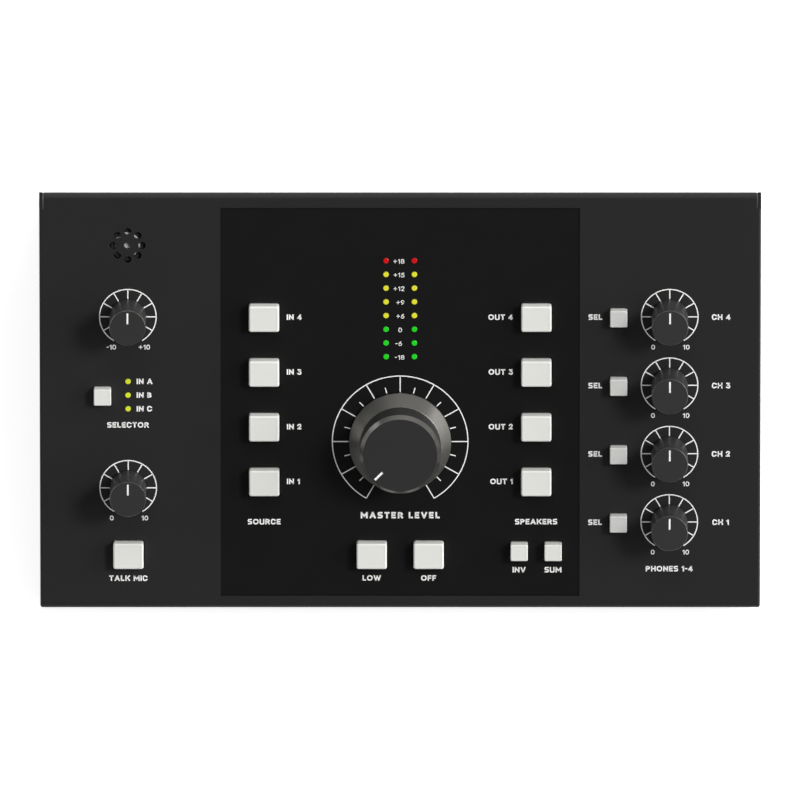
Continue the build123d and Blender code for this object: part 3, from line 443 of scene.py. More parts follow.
def finished(name, shape, material, body, place=panel, stands_for=(), smooth=35):
    """Ends a shape in mm as an object in its place, riding on its body."""
    bmesh.ops.remove_doubles(shape, verts=shape.verts, dist=0.0005)
    bmesh.ops.recalc_face_normals(shape, faces=shape.faces)
    shape.transform(place)
    mesh = mesh_of(shape, name)
    mesh.shade_smooth()
    mesh.set_sharp_from_angle(angle=radians(smooth))
    for layer in material if isinstance(material, list) else [material]:
        mesh.materials.append(layer)
    made = in_scene(name, mesh)
    flat_faces = made.modifiers.new("flat_faces", "WEIGHTED_NORMAL")
    flat_faces.keep_sharp = True
    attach(made, body)
    if stands_for:
        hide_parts(*stands_for)


rows = (4, 3, 2, 1)
dial_ends = {"trim_knob": ("-10", "+10"), "talkback_knob": ("0", "10")}
dial_ends.update({f"phones_knob_{row}": ("0", "10") for row in rows})
# Each word, its piece, which end of the word is placed (-1 left, 0 middle, 1 right), and its place
# across and up from the piece's middle.
cover_words = [
    ("SELECTOR", "source_lamps", 0, 0, -11.49),
    ("TALK MIC", "talkback_button", 0, 0, -caption_drop),
    ("PHONES 1-4", "phones_knob_1", 0, 0, -18.02),
]
for step, word in ((1, "IN A"), (0, "IN B"), (-1, "IN C")):
    cover_words.append((word, "source_lamps", -1, 3.2, step * lamp_pitch))
fascia_words = [
    ("SOURCE", "input_button_1", 0, 0, -group_drop),
    ("SPEAKERS", "output_button_1", 0, 0, -group_drop),
    ("LOW", "dim_button", 0, 0, -caption_drop),
    ("OFF", "mute_button", 0, 0, -caption_drop),
    ("INV", "polarity_button", 0, 0, -small_caption_drop),
    ("SUM", "mono_button", 0, 0, -small_caption_drop),
]
for row in rows:
    cover_words.append((f"CH {row}", f"phones_knob_{row}", 0, 19.1, -0.1))
    cover_words.append(("SEL", f"phones_source_button_{row}", 0, -8.66, -0.1))
    fascia_words.append((f"IN {row}", f"input_button_{row}", -1, 8.45, -0.2))
    fascia_words.append((f"OUT {row}", f"output_button_{row}", 1, -8.7, -0.2))

cover_ink = bmesh.new()
for dial, marks in dial_ends.items():
    x, v = middle_of(dial)
    print_scale(cover_ink, x, v, small_scale, range(-120, 121, 30), 0)
    for mark, side in zip(marks, (-1, 1)):
        spot = (x + side * number_reach, v - number_drop)
        print_word(cover_ink, mark, *spot, number_height, 0, pen=number_pen)
print_words(cover_ink, cover_words, 0)
finished("cover_legends", cover_ink, white_ink, case_body, smooth=10)

fascia_ink = bmesh.new()
main_x, main_v = middle_of("main_knob")
print_scale(fascia_ink, main_x, main_v, main_scale, range(-150, 151, 30), fascia_level)
print_ticks(fascia_ink, main_x, main_v, range(-135, 136, 30), *minor_tick, fascia_level)
title = {"height": title_height, "face": fascia_level, "gap": title_gap, "pen": title_pen}
print_word(fascia_ink, "MASTER LEVEL", main_x, main_v - title_drop, **title)
meter = {"height": meter_height, "face": fascia_level, "side": 1, "gap": meter_gap, "pen": meter_pen}
meter_top = middle_of("meter_lamps_red")[1] - meter_drop
for row, mark in enumerate(("+18", "+15", "+12", "+9", "+6", "0", "-6", "-18")):
    short_end, long_end = meter_ends
    end = main_x + (short_end if mark in ("0", "-6") else long_end)
    print_word(fascia_ink, mark, end, meter_top - row * lamp_pitch, **meter)
print_words(fascia_ink, fascia_words, fascia_level)
finished("fascia_legends", fascia_ink, white_ink, case_body, smooth=10)

# ---- Push buttons ----------------------------
# Eighteen hollow caps moulded in off-white ABS, each pushed onto the square plunger of a switch.
# Their edges are well rounded, and the top is dished very slightly inside its rim.
button_color = (233, 233, 228)
source_color = (219, 219, 216)  # the phones source buttons are moulded a shade greyer
cap_top = 4.0
cap_foot = -2.2
cap_wall = 1.1
cap_pocket = 4.4
rim_width = 0.3
rim_step = 0.14
rim_drop = 0.06
plunger_width = 3.2
plunger_foot = -7.0
# For each size the width, the length, and the rounding of the upright corners and of the top edge.
cap_sizes = {"large": (11.28, 9.82, 0.8, 0.66), "small": (6.42, 6.24, 0.5, 0.38)}
corner_steps, edge_steps = 6, 5
off_white, pale_grey = [
    finish(name, color, 0.32, tone=0.02, smudge=0.04, grain=900, depth=0.002)
    for name, color in (("off_white_abs", button_color), ("pale_grey_abs", source_color))
]


def faces_at(shape, level, up):
    """The flat faces at a height that look up (1) or down (-1)."""
    return [
        face for face in shape.faces
        if face.normal.z * up > 0.99 and abs(face.calc_center_median().z - level) < 0.001
    ]


def upright_of(edges):
    """The edges that rise by more than a millimetre."""
    return [edge for edge in edges if abs(edge.verts[0].co.z - edge.verts[1].co.z) > 1]


def bevel(shape, edges, width, segments):
    """Rounds the given edges."""
    bmesh.ops.bevel(
        shape, geom=edges, offset=width, offset_type="OFFSET", affect="EDGES", segments=segments,
        profile=0.5, material=-1, clamp_overlap=True,
    )


def step_in(shape, level, up, width, drop):
    """Draws the largest flat face at a height in by a width on every side, and lowers it."""
    face = max(faces_at(shape, level, up), key=lambda flat: flat.calc_area())
    sides = Vector([max(v.co[i] for v in face.verts) for i in (0, 1)])
    inner = bmesh.ops.extrude_discrete_faces(shape, faces=[face])["faces"][0]
    shares = Vector([1 - width / side for side in sides])
    bmesh.ops.scale(shape, vec=(*shares, 1), verts=inner.verts)
    bmesh.ops.translate(shape, vec=(0, 0, -drop), verts=inner.verts)


def cap_shape(width, length, corner, edge):
    """One cap with its plunger, about its own middle."""
    shape = bmesh.new()
    add_box(shape, around(width), around(length), (cap_foot, cap_top))
    bevel(shape, upright_of(shape.edges), corner, corner_steps)
    bevel(shape, list(faces_at(shape, cap_top, 1)[0].edges), edge, edge_steps)
    step_in(shape, cap_top, 1, rim_width, 0)
    step_in(shape, cap_top, 1, rim_step, rim_drop)
    step_in(shape, cap_foot, -1, cap_wall, 0)
    step_in(shape, cap_foot, -1, 0, -cap_pocket)
    plunger = around(plunger_width)
    add_box(shape, plunger, plunger, (plunger_foot, cap_foot + cap_pocket))
    return shape


large_buttons = [f"{group}_button_{row}" for group in ("input", "output") for row in rows]
large_buttons += ["dim_button", "mute_button", "talkback_button"]
small_buttons = ["polarity_button", "mono_button", "select_button"]
small_buttons += [f"phones_source_button_{row}" for row in rows]
for size, buttons in (("large", large_buttons), ("small", small_buttons)):
    for node in buttons:
        place = panel @ spot_of(node)
        shape = cap_shape(*cap_sizes[size])
        material = pale_grey if node.startswith("phones") else off_white
        finished(f"{node}_cap", shape, material, node, place, [node])

# ---- Small rotary knobs ----------------------
# Six plain cylinders turned from black plastic with a bright lip round the top, pushed onto the
# D-shafts of their potentiometers. A groove in the top is filled with white.
knob_color = (46, 45, 45)
knob_radius = 6.77
knob_foot = 0.8
knob_height = 16.48  # a hair under the solid, whose top edge is cut wider
lip_width = 0.15
lip_height = 0.28
knob_round = 0.04
knob_bore = 3.05
knob_bore_top = 13.5
pointer_start = 1.5
pointer_end = 5.65
pointer_width = 0.65
groove_depth = 0.25
shaft_radius = 3.0
shaft_foot = -9.15
shaft_top = 13.4
shaft_round = 0.2
shaft_steps = 32
turned_steps = 96
fill_drop = 0.02  # from a knob's top down to the white in its groove
turned_grain = {"tone": 0.04, "smudge": 0.05, "grain": 3000}
metal = {"Metallic": 1.0}
knob_plastic = finish("black_knob_plastic", knob_color, 0.42, depth=0.002, **turned_grain)
lip_cut = finish("cut_knob_lip", (132, 130, 126), 0.36, depth=0.001, shader=metal, **turned_grain)
shaft_steel = finish("shaft_steel", (170, 168, 162), 0.3, smudge=0.15, shader=metal)


def spun(profile, steps=turned_steps):
    """A turned shape from the (radius, height) points of its outline."""
    shape = bmesh.new()
    spots = [shape.verts.new((radius, 0, height)) for radius, height in profile]
    line = [shape.edges.new(pair) for pair in zip(spots, spots[1:])]
    bmesh.ops.spin(
        shape, geom=spots + line, cent=(0, 0, 0), axis=(0, 0, 1), angle=2 * pi, steps=steps, use_merge=True
    )
    bmesh.ops.remove_doubles(shape, verts=shape.verts, dist=0.0005)
    bmesh.ops.recalc_face_normals(shape, faces=shape.faces)
    return shape


def round_rings(shape, width, segments=2):
    """Rounds the sharp edges of a shape."""
    sharp = [edge for edge in shape.edges if edge.is_manifold and edge.calc_face_angle() > radians(30)]
    bevel(shape, sharp, width, segments)


def shift(shape, made, step):
    """Moves the vertices among what an operator has made."""
    moved = [item for item in made if isinstance(item, bmesh.types.BMVert)]
    bmesh.ops.translate(shape, vec=step, verts=moved)


def cut_groove(shape, level, start, end, width, depth):
    """Sinks a groove that runs along X into the flat face at a height."""
    limits = (((start, 0, 0), (1, 0, 0)), ((end, 0, 0), (1, 0, 0)))
    limits += (((0, width / 2, 0), (0, 1, 0)), ((0, -width / 2, 0), (0, 1, 0)))
    for spot, direction in limits:
        top = faces_at(shape, level, 1)
        geometry = top + list({e for f in top for e in f.edges}) + list({v for f in top for v in f.verts})
        bmesh.ops.bisect_plane(shape, geom=geometry, plane_co=spot, plane_no=direction, dist=0.0001)
    floor = [
        face for face in faces_at(shape, level, 1)
        if start < face.calc_center_median().x < end and abs(face.calc_center_median().y) < width / 2
    ]
    sunk = bmesh.ops.extrude_face_region(shape, geom=floor)["geom"]
    bmesh.ops.delete(shape, geom=floor, context="FACES")
    shift(shape, sunk, (0, 0, -depth))


def pointer(node, place, start, end, width, top):
    """The white fill of a knob's groove."""
    fill = bmesh.new()
    add_box(fill, (start, end), around(width), (top - groove_depth, top - fill_drop))
    finished(f"{node}_pointer", fill, white_ink, node, place)


def drum(radius, low, high):
    """The outline of a plain round piece."""
    return [(0, low), (radius, low), (radius, high), (0, high)]


knob_outline = [
    (0, knob_bore_top), (knob_bore, knob_bore_top), (knob_bore, knob_foot), (knob_radius, knob_foot),
    (knob_radius, knob_height - lip_height), (knob_radius - lip_width, knob_height), (0, knob_height),
]
upright_turn = Matrix.Rotation(radians(90), 4, "Z")
for node in dial_ends:
    place = panel @ spot_of(node) @ upright_turn
    shape = spun(knob_outline)
    round_rings(shape, knob_round)
    cut_groove(shape, knob_height, pointer_start, pointer_end, pointer_width, groove_depth)
    for face in shape.faces:
        middle = face.calc_center_median()
        at_lip = knob_height - lip_height < middle.z < knob_height
        face.material_index = int(at_lip and middle.xy.length > knob_radius - lip_width)
    finished(f"{node}_grip", shape, [knob_plastic, lip_cut], node, place, [node])
    pointer(node, place, pointer_start, pointer_end, pointer_width, knob_height)
    shape = spun(drum(shaft_radius, shaft_foot, shaft_top), shaft_steps)
    round_rings(shape, shaft_round)
    finished(f"{node}_shaft", shape, shaft_steel, node, place)

# ---- Main knob -------------------------------
# A large satin-black knob turned in one piece, with a conical skirt that meets a straight grip at
# a crisp waist, and a wide chamfer round the flat top. It turns on the main potentiometer's shaft.
main_rim_radius = 18.95
main_rim_height = 1.5
main_waist_radius = 15.25
main_waist_height = 7.0
main_grip_radius = 15.15
main_shoulder_height = 17.9
main_top_radius = 13.8
main_height = 19.8
main_bore_top = 16.8
main_recess_radius = 11.0  # the hollow over the nut
main_recess_top = 6.5
main_round = 0.12
main_steps = 160
waist_margin = 0.05  # the skirt's finish goes this far over the waist
chamfer_margin = 0.1  # the bright cut ends this far inside the chamfer's edges
main_pointer = (9.3, 13.3, 0.85)  # its ends from the middle, and its width
main_pointer_angle = 225  # degrees anticlockwise from straight right
satin_knob = finish("satin_black_knob", (42, 41, 41), 0.42, depth=0.002, **turned_grain)
turned_knob = finish(
    "turned_black_knob", (126, 125, 121), 0.38, depth=0.001,
    shader={"Metallic": 1.0, "Anisotropic": 0.7, "Anisotropic Rotation": 0.25}, **turned_grain,
)
bright_cut = finish(
    "bright_cut_edge", (116, 115, 112), 0.28, depth=0.001, shader=metal, **turned_grain
)
main_outline = [
    (0, main_bore_top), (knob_bore, main_bore_top), (knob_bore, main_recess_top),
    (main_recess_radius, main_recess_top), (main_recess_radius, knob_foot),
    (main_rim_radius, knob_foot), (main_rim_radius, main_rim_height),
    (main_waist_radius, main_waist_height), (main_grip_radius, main_waist_height),
    (main_grip_radius, main_shoulder_height), (main_top_radius, main_height), (0, main_height),
]
main_turned = Matrix.Rotation(radians(main_pointer_angle), 4, "Z")
main_place = panel @ Matrix.Translation((main_x, main_v, 0)) @ main_turned
shape = spun(main_outline, main_steps)
round_rings(shape, main_round, 3)
cut_groove(shape, main_height, *main_pointer, groove_depth)
for face in shape.faces:
    middle = face.calc_center_median()
    radius = middle.xy.length
    on_skirt = middle.z < main_waist_height + waist_margin and radius > main_grip_radius
    above, below = main_shoulder_height + chamfer_margin, main_height - chamfer_margin
    on_chamfer = above < middle.z < below and radius > main_top_radius
    face.material_index = 1 if on_skirt else 2 if on_chamfer else 0
main_finishes = [satin_knob, turned_knob, bright_cut]
finished("main_knob_grip", shape, main_finishes, "main_knob", main_place, ["main_knob"])
pointer("main_knob", main_place, *main_pointer, main_height)
dress("main_shaft", shaft_steel, 0.15)
pot_case = finish("pot_case", (120, 118, 112), 0.45, smudge=0.2, shader={"Metallic": 0.8})
black_nickel = finish("black_nickel", (70, 68, 66), 0.35, smudge=0.15, shader=metal)
dress("main_pot", pot_case)
dress("main_pot_nut", black_nickel)
dress("small_pots", pot_case)

# ---- Lamps -----------------------------------
# Light-emitting diodes soldered to the board, each with a tinted clear pipe whose dome stands just
# proud of the panel. The meter runs from green over yellow to red.
lamp_colors = {
    "meter_lamps_red": (196, 10, 16),
    "meter_lamps_yellow": (216, 214, 48),
    "meter_lamps_green": (26, 204, 28),
    "source_lamps": (206, 218, 45),
}


def ramp(tree, value, start, end, low, high):
    """Turns a value from start to end into one from low to high, and holds it there."""
    limits = {"From Min": start, "From Max": end, "To Min": low, "To Max": high}
    node = add_node(tree, "MapRange", limits)
    tree.links.new(value, node.inputs["Value"])
    return node.outputs[0]


def along(tree, vector, direction):
    """How far a vector runs along a direction."""
    node = add_node(tree, "VectorMath", {1: direction}, operation="DOT_PRODUCT")
    tree.links.new(vector, node.inputs[0])
    return node.outputs["Value"]


for node, color in lamp_colors.items():
    tinted = {"Emission Color": (*linear(color), 1), "Emission Strength": 0.08, "Coat Weight": 0.2}
    name = node.replace("lamps", "glow")
    glow = finish(name, color, 0.25, tone=0.05, smudge=0.02, depth=0.001, shader=tinted)
    # Painted shade: each dome's colour is darkened towards its rim and lifted a little on top, by how far
    # its faces turn away from the panel's normal.
    tree = glow.node_tree
    upright = along(tree, add_node(tree, "TexCoord").outputs["Normal"], panel_normal)
    share = ramp(tree, upright, 0.7, 1.0, 0.25, 1.08)
    base = tree.nodes["Principled BSDF"].inputs["Base Color"]
    tree.links.new(scaled(tree, base.links[0].from_socket, share), base)
    dress(node, glow)

# ---- Talkback microphone ---------------------
# An electret capsule: an aluminium can with a pale dust felt glued over its face. A black rubber
# boot holds it behind the ring of holes.
can = (4.85, -7.0, -2.5)  # radius, foot and top
felt = (4.8, -2.49, -1.65)
can_round, felt_round = 0.25, 0.2
can_steps = 64
can_aluminium = finish("can_aluminium", (190, 190, 186), 0.35, smudge=0.1, shader=metal)
dust_felt = finish("dust_felt", (214, 214, 210), 0.9, tone=0.3, grain=5000, depth=0.03)
soft_rubber = finish("black_rubber", (20, 20, 20), 0.75, grain=1500, depth=0.01)
place = panel @ spot_of("talkback_microphone")
shape = spun(drum(*can), can_steps)
round_rings(shape, can_round, 4)
finished(
    "microphone_can", shape, can_aluminium, case_body, place, ["talkback_microphone"]
)
shape = spun(drum(*felt), can_steps)
round_rings(shape, felt_round, 3)
finished("microphone_felt", shape, dust_felt, case_body, place)
dress("microphone_boot", soft_rubber)

# ---- Boards and what is soldered to them -----
# Two glass-fibre boards in dark green: one under the panel with the switches, and one upright
# behind the jacks with the relays. A grey ribbon cable joins them.
board_green = finish("green_board", (22, 62, 38), 0.35, tone=0.3, grain=1200, depth=0.01)
switch_black = finish("switch_black", (30, 30, 32), 0.45)
brass = finish("brass", (196, 160, 88), 0.3, smudge=0.15, shader=metal)
zinc_screw = finish("black_zinc_screw", (58, 58, 60), 0.4, smudge=0.2, shader={"Metallic": 0.9})
for node, material, edge in (
    ("control_board", board_green, 0), ("connector_board", board_green, 0),
    ("push_switches", switch_black, 0.2), ("standoffs", brass, 0.15),
    ("board_screws", zinc_screw, 0.15),
    ("relays", finish("relay_plastic", (222, 218, 204), 0.4), 0.4),
    ("supply_capacitors", finish("capacitor_sleeve", (26, 28, 40), 0.3), 0.5),
    ("ribbon_cable", finish("ribbon_grey", (150, 150, 152), 0.5), 0),
):
    dress(node, material, edge)

# ---- Connector panel -------------------------
# A folded steel panel in the cover's paint, set back under the rear edge, with a printed number
# over each jack. Places on it are in mm: s to the right as it is seen from behind, z up, and out.
dress("connector_panel", powder_coat)
rear = place_of(Vector((0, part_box("connector_panel")[1][1], 0)), Vector((-1, 0, 0)), Vector((0, 0, 1)))
rear_number_height = 2.0
rear_number_rise = 8.9


def solids_of(node, place):
    """The middle of each solid of a CAD node along the two axes of a place, in mm."""
    copy = bmesh.new()
    copy.from_mesh(nodes[node].data)
    copy.transform(place.inverted())
    bmesh.ops.remove_doubles(copy, verts=copy.verts, dist=0.001)
    free = set(copy.verts)
    middles = []
    while free:
        solid, front = set(), {free.pop()}
        while front:
            solid |= front
            front = {edge.other_vert(vertex) for vertex in front for edge in vertex.link_edges} - solid
        free -= solid
        limits = [(min(v.co[i] for v in solid), max(v.co[i] for v in solid)) for i in (0, 1)]
        middles.append([round((low + high) / 2, 3) for low, high in limits])
    copy.free()
    return sorted(middles)


jack_groups = {node: solids_of(node, rear) for node in ("phones_jacks", "line_jacks")}
rear_ink = bmesh.new()
for places in jack_groups.values():
    for row in sorted({z for s, z in places}, reverse=True):
        for count, (s, z) in enumerate([spot for spot in places if spot[1] == row], 1):
            print_word(rear_ink, str(count), s, z + rear_number_rise, rear_number_height, 0)
finished("rear_legends", rear_ink, white_ink, case_body, rear, smooth=10)

# ---- Quarter-inch jacks ----------------------
# Moulded black sockets with a nickel-plated threaded bush and spring contacts in the bore. A
# black-nickel hexagon nut draws each against the panel.
sheet = 1.2  # the panel's thickness
jack_block = (4, 15.5, 12.6)  # sides, width and height
jack_back = -28.2
jack_bore = 3.25
jack_floor = -26.7
spring_places = ((90, -6.0), (200, -13.0))  # the turn of each contact and its level in the bore
spring_size = (0.5, 1.6, 5.0)
spring_lean = 8
bush_radius = 4.5
bush_reach = 4.3
mouth_chamfer = 0.4
thread_pitch = 0.7
thread_depth = 0.25
nut_flats = 12.0
nut_height = 2.2
nut_play = 0.1
nut_round, aux_nut_round = 0.35, 0.3
bore_steps = 32
jack_black = finish("jack_black", (24, 24, 25), 0.4, grain=1800, depth=0.004)
nickel = finish("nickel_plate", (176, 172, 164), 0.25, smudge=0.12, shader=metal)
jack_finishes = [jack_black, nickel]


def outline(shape, place, level, sides, width, length=None):
    """Adds the edges of an outline with some sides, regular unless it has a length too."""
    size = Matrix.Diagonal((width, length or width, 1, 1))
    turn = Matrix.Rotation(pi / sides, 4, "Z")
    at_level = place @ Matrix.Translation((0, 0, level)) @ size @ turn
    ring = bmesh.ops.create_circle(shape, segments=sides, radius=0.5 / cos(pi / sides), matrix=at_level)
    return list({edge for vertex in ring["verts"] for edge in vertex.link_edges})


def bored(shape, place, outer, inner, low, high, floor=None):
    """Adds a prism from low to high with a bore that goes through, or down to a floor."""
    rims = [outline(shape, place, high, *sizes) for sizes in (outer, inner)]
    bmesh.ops.triangle_fill(shape, edges=rims[0] + rims[1], use_beauty=True)
    out = (place.to_3x3() @ Vector((0, 0, 1))).normalized()
    ends = []
    for rim, level in zip(rims, (low, low if floor is None else floor)):
        wall = bmesh.ops.extrude_edge_only(shape, edges=rim)["geom"]
        shift(shape, wall, out * (level - high))
        ends.append([item for item in wall if isinstance(item, bmesh.types.BMEdge) and item.is_boundary])
    if floor is None:
        bmesh.ops.triangle_fill(shape, edges=ends[0] + ends[1], use_beauty=True)
    else:
        for end in ends:
            bmesh.ops.edgeloop_fill(shape, edges=end)
    return rims[0]


def add_spun(shape, place, profile, steps, finish_index=0):
    """Adds a turned shape in its place to another shape, with one of its finishes."""
    part = spun(profile, steps)
    part.transform(place)
    for face in part.faces:
        face.material_index = finish_index
    mesh = mesh_of(part, "part")
    shape.from_mesh(mesh)
    bpy.data.meshes.remove(mesh)


def thread(radius, high, low):
    """The outline of a thread from its top ridge down."""
    turns = int((high - low) / thread_pitch)
    ridges = [high - count * thread_pitch for count in range(turns)]
    points = [
        (radius - depth, level - drop)
        for level in ridges for depth, drop in ((0, 0), (thread_depth, thread_pitch / 2))
    ]
    return points + [(radius, low)]


def bush(bore, radius, reach, low):
    """The closed outline of a threaded bush with a chamfered mouth."""
    mouth = [(bore, low), (bore, reach - mouth_chamfer)]
    mouth += [(bore + mouth_chamfer, reach), (radius - mouth_chamfer, reach)]
    ridges = thread(radius, reach - thread_pitch / 2, nut_height - thread_pitch)
    return mouth + ridges + [(radius, low), (bore, low)]


for node, spots in jack_groups.items():
    shape = bmesh.new()
    for s, z in spots:
        place = Matrix.Translation((s, z, 0))
        bored(shape, place, jack_block, (bore_steps, 2 * jack_bore), jack_back, -sheet, jack_floor)
        add_spun(shape, place, bush(jack_bore, bush_radius, bush_reach, -sheet), bore_steps, 1)
        for turn, level in spring_places:
            turned = place @ Matrix.Rotation(radians(turn), 4, "Z")
            leaning = Matrix.Rotation(radians(spring_lean), 4, "Y")
            leaf = turned @ Matrix.Translation((jack_bore, 0, level)) @ leaning
            add_box(shape, *[around(size) for size in spring_size], place=leaf, finish_index=1)
    finished(f"{node}_sockets", shape, jack_finishes, case_body, rear, [node])

nut_bore = (bore_steps, 2 * bush_radius + nut_play)
aux_nut = ((24, 8.8), (bore_steps, 6.1), 0, 1.8)
inlet_nut = ((6, 15.0), (bore_steps, 11.1), -sheet - 2.5, -sheet)
shape = bmesh.new()
for s, z in [spot for spots in jack_groups.values() for spot in spots]:
    place = Matrix.Translation((s, z, 0))
    rim = bored(shape, place, (6, nut_flats), nut_bore, 0, nut_height)
    bevel(shape, rim, nut_round, 2)
aux_spot = spot_of("aux_socket", rear)
bevel(shape, bored(shape, aux_spot, *aux_nut), aux_nut_round, 2)
inlet_spot = spot_of("power_inlet", rear)
bored(shape, inlet_spot, *inlet_nut)
finished("hexagon_nuts", shape, black_nickel, case_body, rear, ["jack_nuts"])

# ---- Digital and auxiliary sockets -----------
# A phono socket with a nickel barrel in an orange moulding, a small black jack for the auxiliary
# source, and a square optical socket with the receiver's lens at the back of its mouth.
coax_orange = finish("coax_orange", (222, 104, 24), 0.4)
gold = finish("gold_flash", (214, 172, 92), 0.25, smudge=0.1, shader=metal)
lens_red = finish("receiver_lens", (120, 14, 16), 0.1, shader={"Coat Weight": 0.6})
coax_block = ((4, 11.0), (bore_steps, 3.2), -sheet - 11.0, -sheet, -sheet - 0.5)
aux_block = ((4, 9.0), (bore_steps, 3.6), -sheet - 13.0, -sheet, -11.0)
aux_bush = (1.8, 3.0, 4.0, -sheet)
# The turned pieces of the phono socket, as the radius and the height of each point.
orange_outline = [
    (1.6, -sheet), (1.6, 7.9), (1.9, 8.2), (3.62, 8.2), (3.62, 0.8), (5.4, 0.8), (5.6, 0.6),
    (5.6, -sheet), (1.6, -sheet),
]
barrel_outline = [
    (3.65, 0.8), (3.65, 8.55), (3.85, 8.8), (3.95, 8.8), (4.15, 8.5), (4.15, 0.8), (3.65, 0.8),
]
contact_outline = [(1.25, -1.0), (1.25, 7.3), (1.57, 7.3), (1.57, -1.0), (1.25, -1.0)]
socket_steps = 48
coax_finishes = [coax_orange, nickel, gold]
coax_spot = spot_of("coax_socket", rear)
shape = bmesh.new()
bored(shape, coax_spot, *coax_block)
for finish_index, profile in enumerate((orange_outline, barrel_outline, contact_outline)):
    add_spun(shape, coax_spot, profile, socket_steps, finish_index)
finished("coax_phono_socket", shape, coax_finishes, case_body, rear, ["coax_socket"])

shape = bmesh.new()
bored(shape, aux_spot, *aux_block)
add_spun(shape, aux_spot, bush(*aux_bush), bore_steps, 1)
finished("aux_jack_socket", shape, jack_finishes, case_body, rear, ["aux_socket"])

optical_spot = spot_of("optical_socket", rear)
dress("optical_socket", jack_black, 0.15)
lens_outline = [
    (0, -7.5), (1.6, -7.5), (1.6, -6.6), (1.1, -6.3), (0.9, -5.9), (0.5, -5.7), (0, -5.65),
]
shape = spun(lens_outline, bore_steps)
finished("optical_lens", shape, lens_red, case_body, rear @ optical_spot)

# ---- Power inlet and power switch ------------
# A barrel socket with a sprung pin for the low-voltage supply, and a snap-in rocker switch. The
# rocker tilts on two trunnions in its moulded housing and carries printed I and O marks.
inlet_outline = [
    (3.15, -7.9), (3.15, 1.1), (3.6, 1.6), (6.7, 1.6), (7.2, 1.1), (7.2, 0), (5.5, 0), (5.5, -13.0),
    (0, -13.0), (0, -7.9), (3.15, -7.9),
]
pin_outline = [(0, -8.0), (1.05, -8.0), (1.05, 0.2), (0.8, 0.5), (0, 0.6)]
pin_steps = 24
shape = bmesh.new()
add_spun(shape, inlet_spot, inlet_outline, socket_steps)
add_spun(shape, inlet_spot, pin_outline, pin_steps, 1)
finished("barrel_inlet", shape, jack_finishes, case_body, rear, ["power_inlet"])

housing = (13.0, 20.4)
bezel = (15.4, 22.8)
bezel_height = 2.0
bezel_corner = 1.0
bezel_edge = 0.35
cavity = (10.6, 18.0)
cavity_floor = -9.0
housing_back = -14.0
switch_spot = spot_of("power_switch", rear)
shape = bmesh.new()
rim = bored(shape, switch_spot, (4, *bezel), (4, *cavity), 0, bezel_height)
sides = {edge for side in rim for vertex in side.verts for edge in vertex.link_edges}
bevel(shape, upright_of(sides), bezel_corner, 4)
rim = [
    edge for edge in shape.edges
    if all(abs(v.co.z - bezel_height) < 0.001 for v in edge.verts)
    and edge.is_manifold and edge.calc_face_angle() > 1 and not edge.is_boundary
]
bevel(shape, rim, bezel_edge, 3)
bored(shape, switch_spot, (4, *housing), (4, *cavity), housing_back, 0, cavity_floor)
finished("switch_housing", shape, jack_black, case_body, rear, ["power_switch"])

rocker_tilt = radians(9)  # at rest the foot is pressed in, which is on
rocker_width = 9.9
rocker_half = 7.5
ridge_reach = 3.3
face_reach = 4.9
back_reach = -3.0
back_half = 2.5
rocker_round = 0.5
mark_height = 3.2
outward = Vector((0, cos(rocker_tilt), -sin(rocker_tilt)))
trunnions = Vector(joints["power_rocker_tilt"]["pos_m"])
rocker = place_of(trunnions, outward, Vector((1, 0, 0)).cross(outward))
shape = bmesh.new()
rocker_profile = [
    (ridge_reach, 0), (face_reach, rocker_half), (0, rocker_half), (back_reach, back_half),
    (back_reach, -back_half), (0, -rocker_half), (face_reach, -rocker_half),
]
side = shape.faces.new([shape.verts.new((*spot, -rocker_width / 2)) for spot in rocker_profile])
far_side = bmesh.ops.extrude_face_region(shape, geom=[side])["geom"]
shift(shape, far_side, (0, 0, rocker_width))
bmesh.ops.holes_fill(shape, edges=[edge for edge in shape.edges if edge.is_boundary], sides=0)
bmesh.ops.recalc_face_normals(shape, faces=shape.faces)
outer = [edge for edge in shape.edges if max(vertex.co.x for vertex in edge.verts) > 0]
bevel(shape, [edge for edge in outer if edge.calc_face_angle() > 0.5], rocker_round, 4)
finished("rocker", shape, switch_black, "power_rocker", rocker, ["power_rocker"])

for mark, end in (("I", -1), ("O", 1)):
    middle = Vector(((face_reach + ridge_reach) / 2, end * rocker_half / 2, 0))
    across = Vector((0, 0, -1))
    slope = Vector((face_reach - ridge_reach, end * rocker_half, 0)).normalized() * end
    slope_frame = Matrix((across, slope, across.cross(slope)))
    on_slope = Matrix.Translation(middle) @ slope_frame.transposed().to_4x4()
    ink = bmesh.new()
    print_word(ink, mark, 0, 0, mark_height, 0)
    finished(f"rocker_mark_{mark}", ink, white_ink, "power_rocker", rocker @ on_slope)

# ---- Base plate, feet and screws -------------
# A flat steel plate in a rougher black, screwed to the case's flanges, closes it from below. It
# stands on four soft rubber feet, each held by a screw.
base_black = finish("base_black", (34, 34, 35), 0.6, grain=cover_grain, depth=cover_grain_depth)
for node, material, edge in (
    ("base_plate", base_black, 0), ("case_screws", zinc_screw, 0.15), ("foot_screws", zinc_screw, 0.15),
    ("rubber_feet", soft_rubber, 0.3),
):
    dress(node, material, edge)

# ---- Studio ----------------------------------
# A white floor, a surround that is white at the horizon and dim overhead, low down and in front, a
# key lamp and a wide lamp to the right, and weaker ones at the rear and the left. The camera looks
# straight down.
floor_size = 6.0
floor_shape = bmesh.new()
bmesh.ops.create_grid(floor_shape, x_segments=1, y_segments=1, size=floor_size / 2)
floor = in_scene("floor", mesh_of(floor_shape, "floor"))


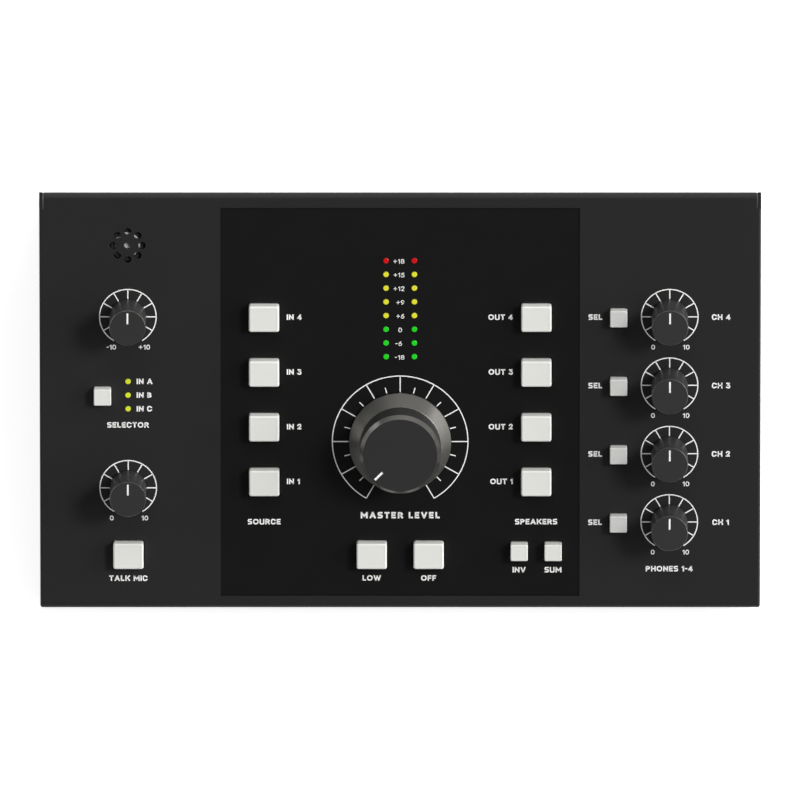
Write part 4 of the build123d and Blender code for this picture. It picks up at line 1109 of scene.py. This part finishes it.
def seen_share(tree):
    """1 for rays from the camera and for reflected or refracted ones, 0 for diffuse light."""
    path = add_node(tree, "LightPath")
    share = path.outputs["Is Camera Ray"]
    for kind in ("Is Glossy Ray", "Is Transmission Ray"):
        share = calculate(tree, "MAXIMUM", share, path.outputs[kind])
    return share


floor_white = bpy.data.materials.new("floor_white")
floor_white.use_nodes = True
tree = floor_white.node_tree
paper = tree.nodes["Principled BSDF"]
set_inputs(paper, {
    "Base Color": (0.86, 0.86, 0.86, 1), "Roughness": 0.9, "Specular IOR Level": 0.0,
    "Emission Color": (1, 1, 1, 1),
})
floor_light = 0.76  # what the floor adds for the eye, over the light that falls on it
glow = calculate(tree, "MULTIPLY", seen_share(tree), floor_light)
tree.links.new(glow, paper.inputs["Emission Strength"])
floor.data.materials.append(floor_white)

world = bpy.data.worlds.new("surround")
bpy.context.scene.world = world
world.use_nodes = True
tree = world.node_tree
back = tree.nodes["Background"]
back.inputs["Color"].default_value = (1, 1, 1, 1)
direction = add_node(tree, "TexCoord").outputs["Generated"]
height = along(tree, direction, (0, 0, 1))
dome = ramp(tree, height, 0.25, 0.75, 1.3, 0.25)
bright_side = ramp(tree, along(tree, direction, (0.84, 0.54, 0)), -0.5, 0.8, 0.21, 1.16)
low_band = ramp(tree, height, 0.1, 0.24, 0.35, 1.0)
horizon = ramp(tree, height, 0.02, 0.04, 1.0, 0.0)
level = calculate(tree, "MULTIPLY", dome, bright_side)
level = calculate(tree, "MULTIPLY", level, low_band)
tree.links.new(calculate(tree, "MAXIMUM", level, horizon), back.inputs["Strength"])


def area_lamp(name, azimuth, elevation, distance, width, length, strength):
    """A rectangular lamp that faces the object, its azimuth anticlockwise from the right."""
    lamp = bpy.data.lights.new(name, "AREA")
    lamp.shape = "RECTANGLE"
    lamp.size = width
    lamp.size_y = length
    lamp.energy = strength
    stand = in_scene(name, lamp)
    stand.visible_camera = False
    a, e = radians(azimuth), radians(elevation)
    away = Vector((cos(a) * cos(e), sin(a) * cos(e), sin(e)))
    stand.location = away * distance
    stand.rotation_mode = "QUATERNION"
    stand.rotation_quaternion = away.to_track_quat("Z", "Y")


area_lamp("key_lamp", 14, 52, 9.0, 2.2, 2.2, 446)
area_lamp("right_panel", 8, 20, 9.0, 7.9, 2.9, 460)
area_lamp("rear_lamp", 92, 54, 5.0, 3.4, 1.2, 50)
area_lamp("left_strip", 158, 6, 5.0, 4.8, 0.8, 38)

# A very long lens from far above, so that upright walls show almost no side.
lens_mm = 1400
sensor_mm = 36
sight = 20  # metres
view_width = 0.29735
aim = (-0.00006, 0.00004, 0.0467)
camera = bpy.data.cameras.new("camera")
camera.lens = lens_mm
camera.sensor_width = sensor_mm
camera.clip_end = sight
viewer = in_scene("camera", camera)
viewer.location = (aim[0], aim[1], aim[2] + view_width * lens_mm / sensor_mm)
bpy.context.scene.camera = viewer
bpy.context.scene.view_settings.view_transform = "Standard"
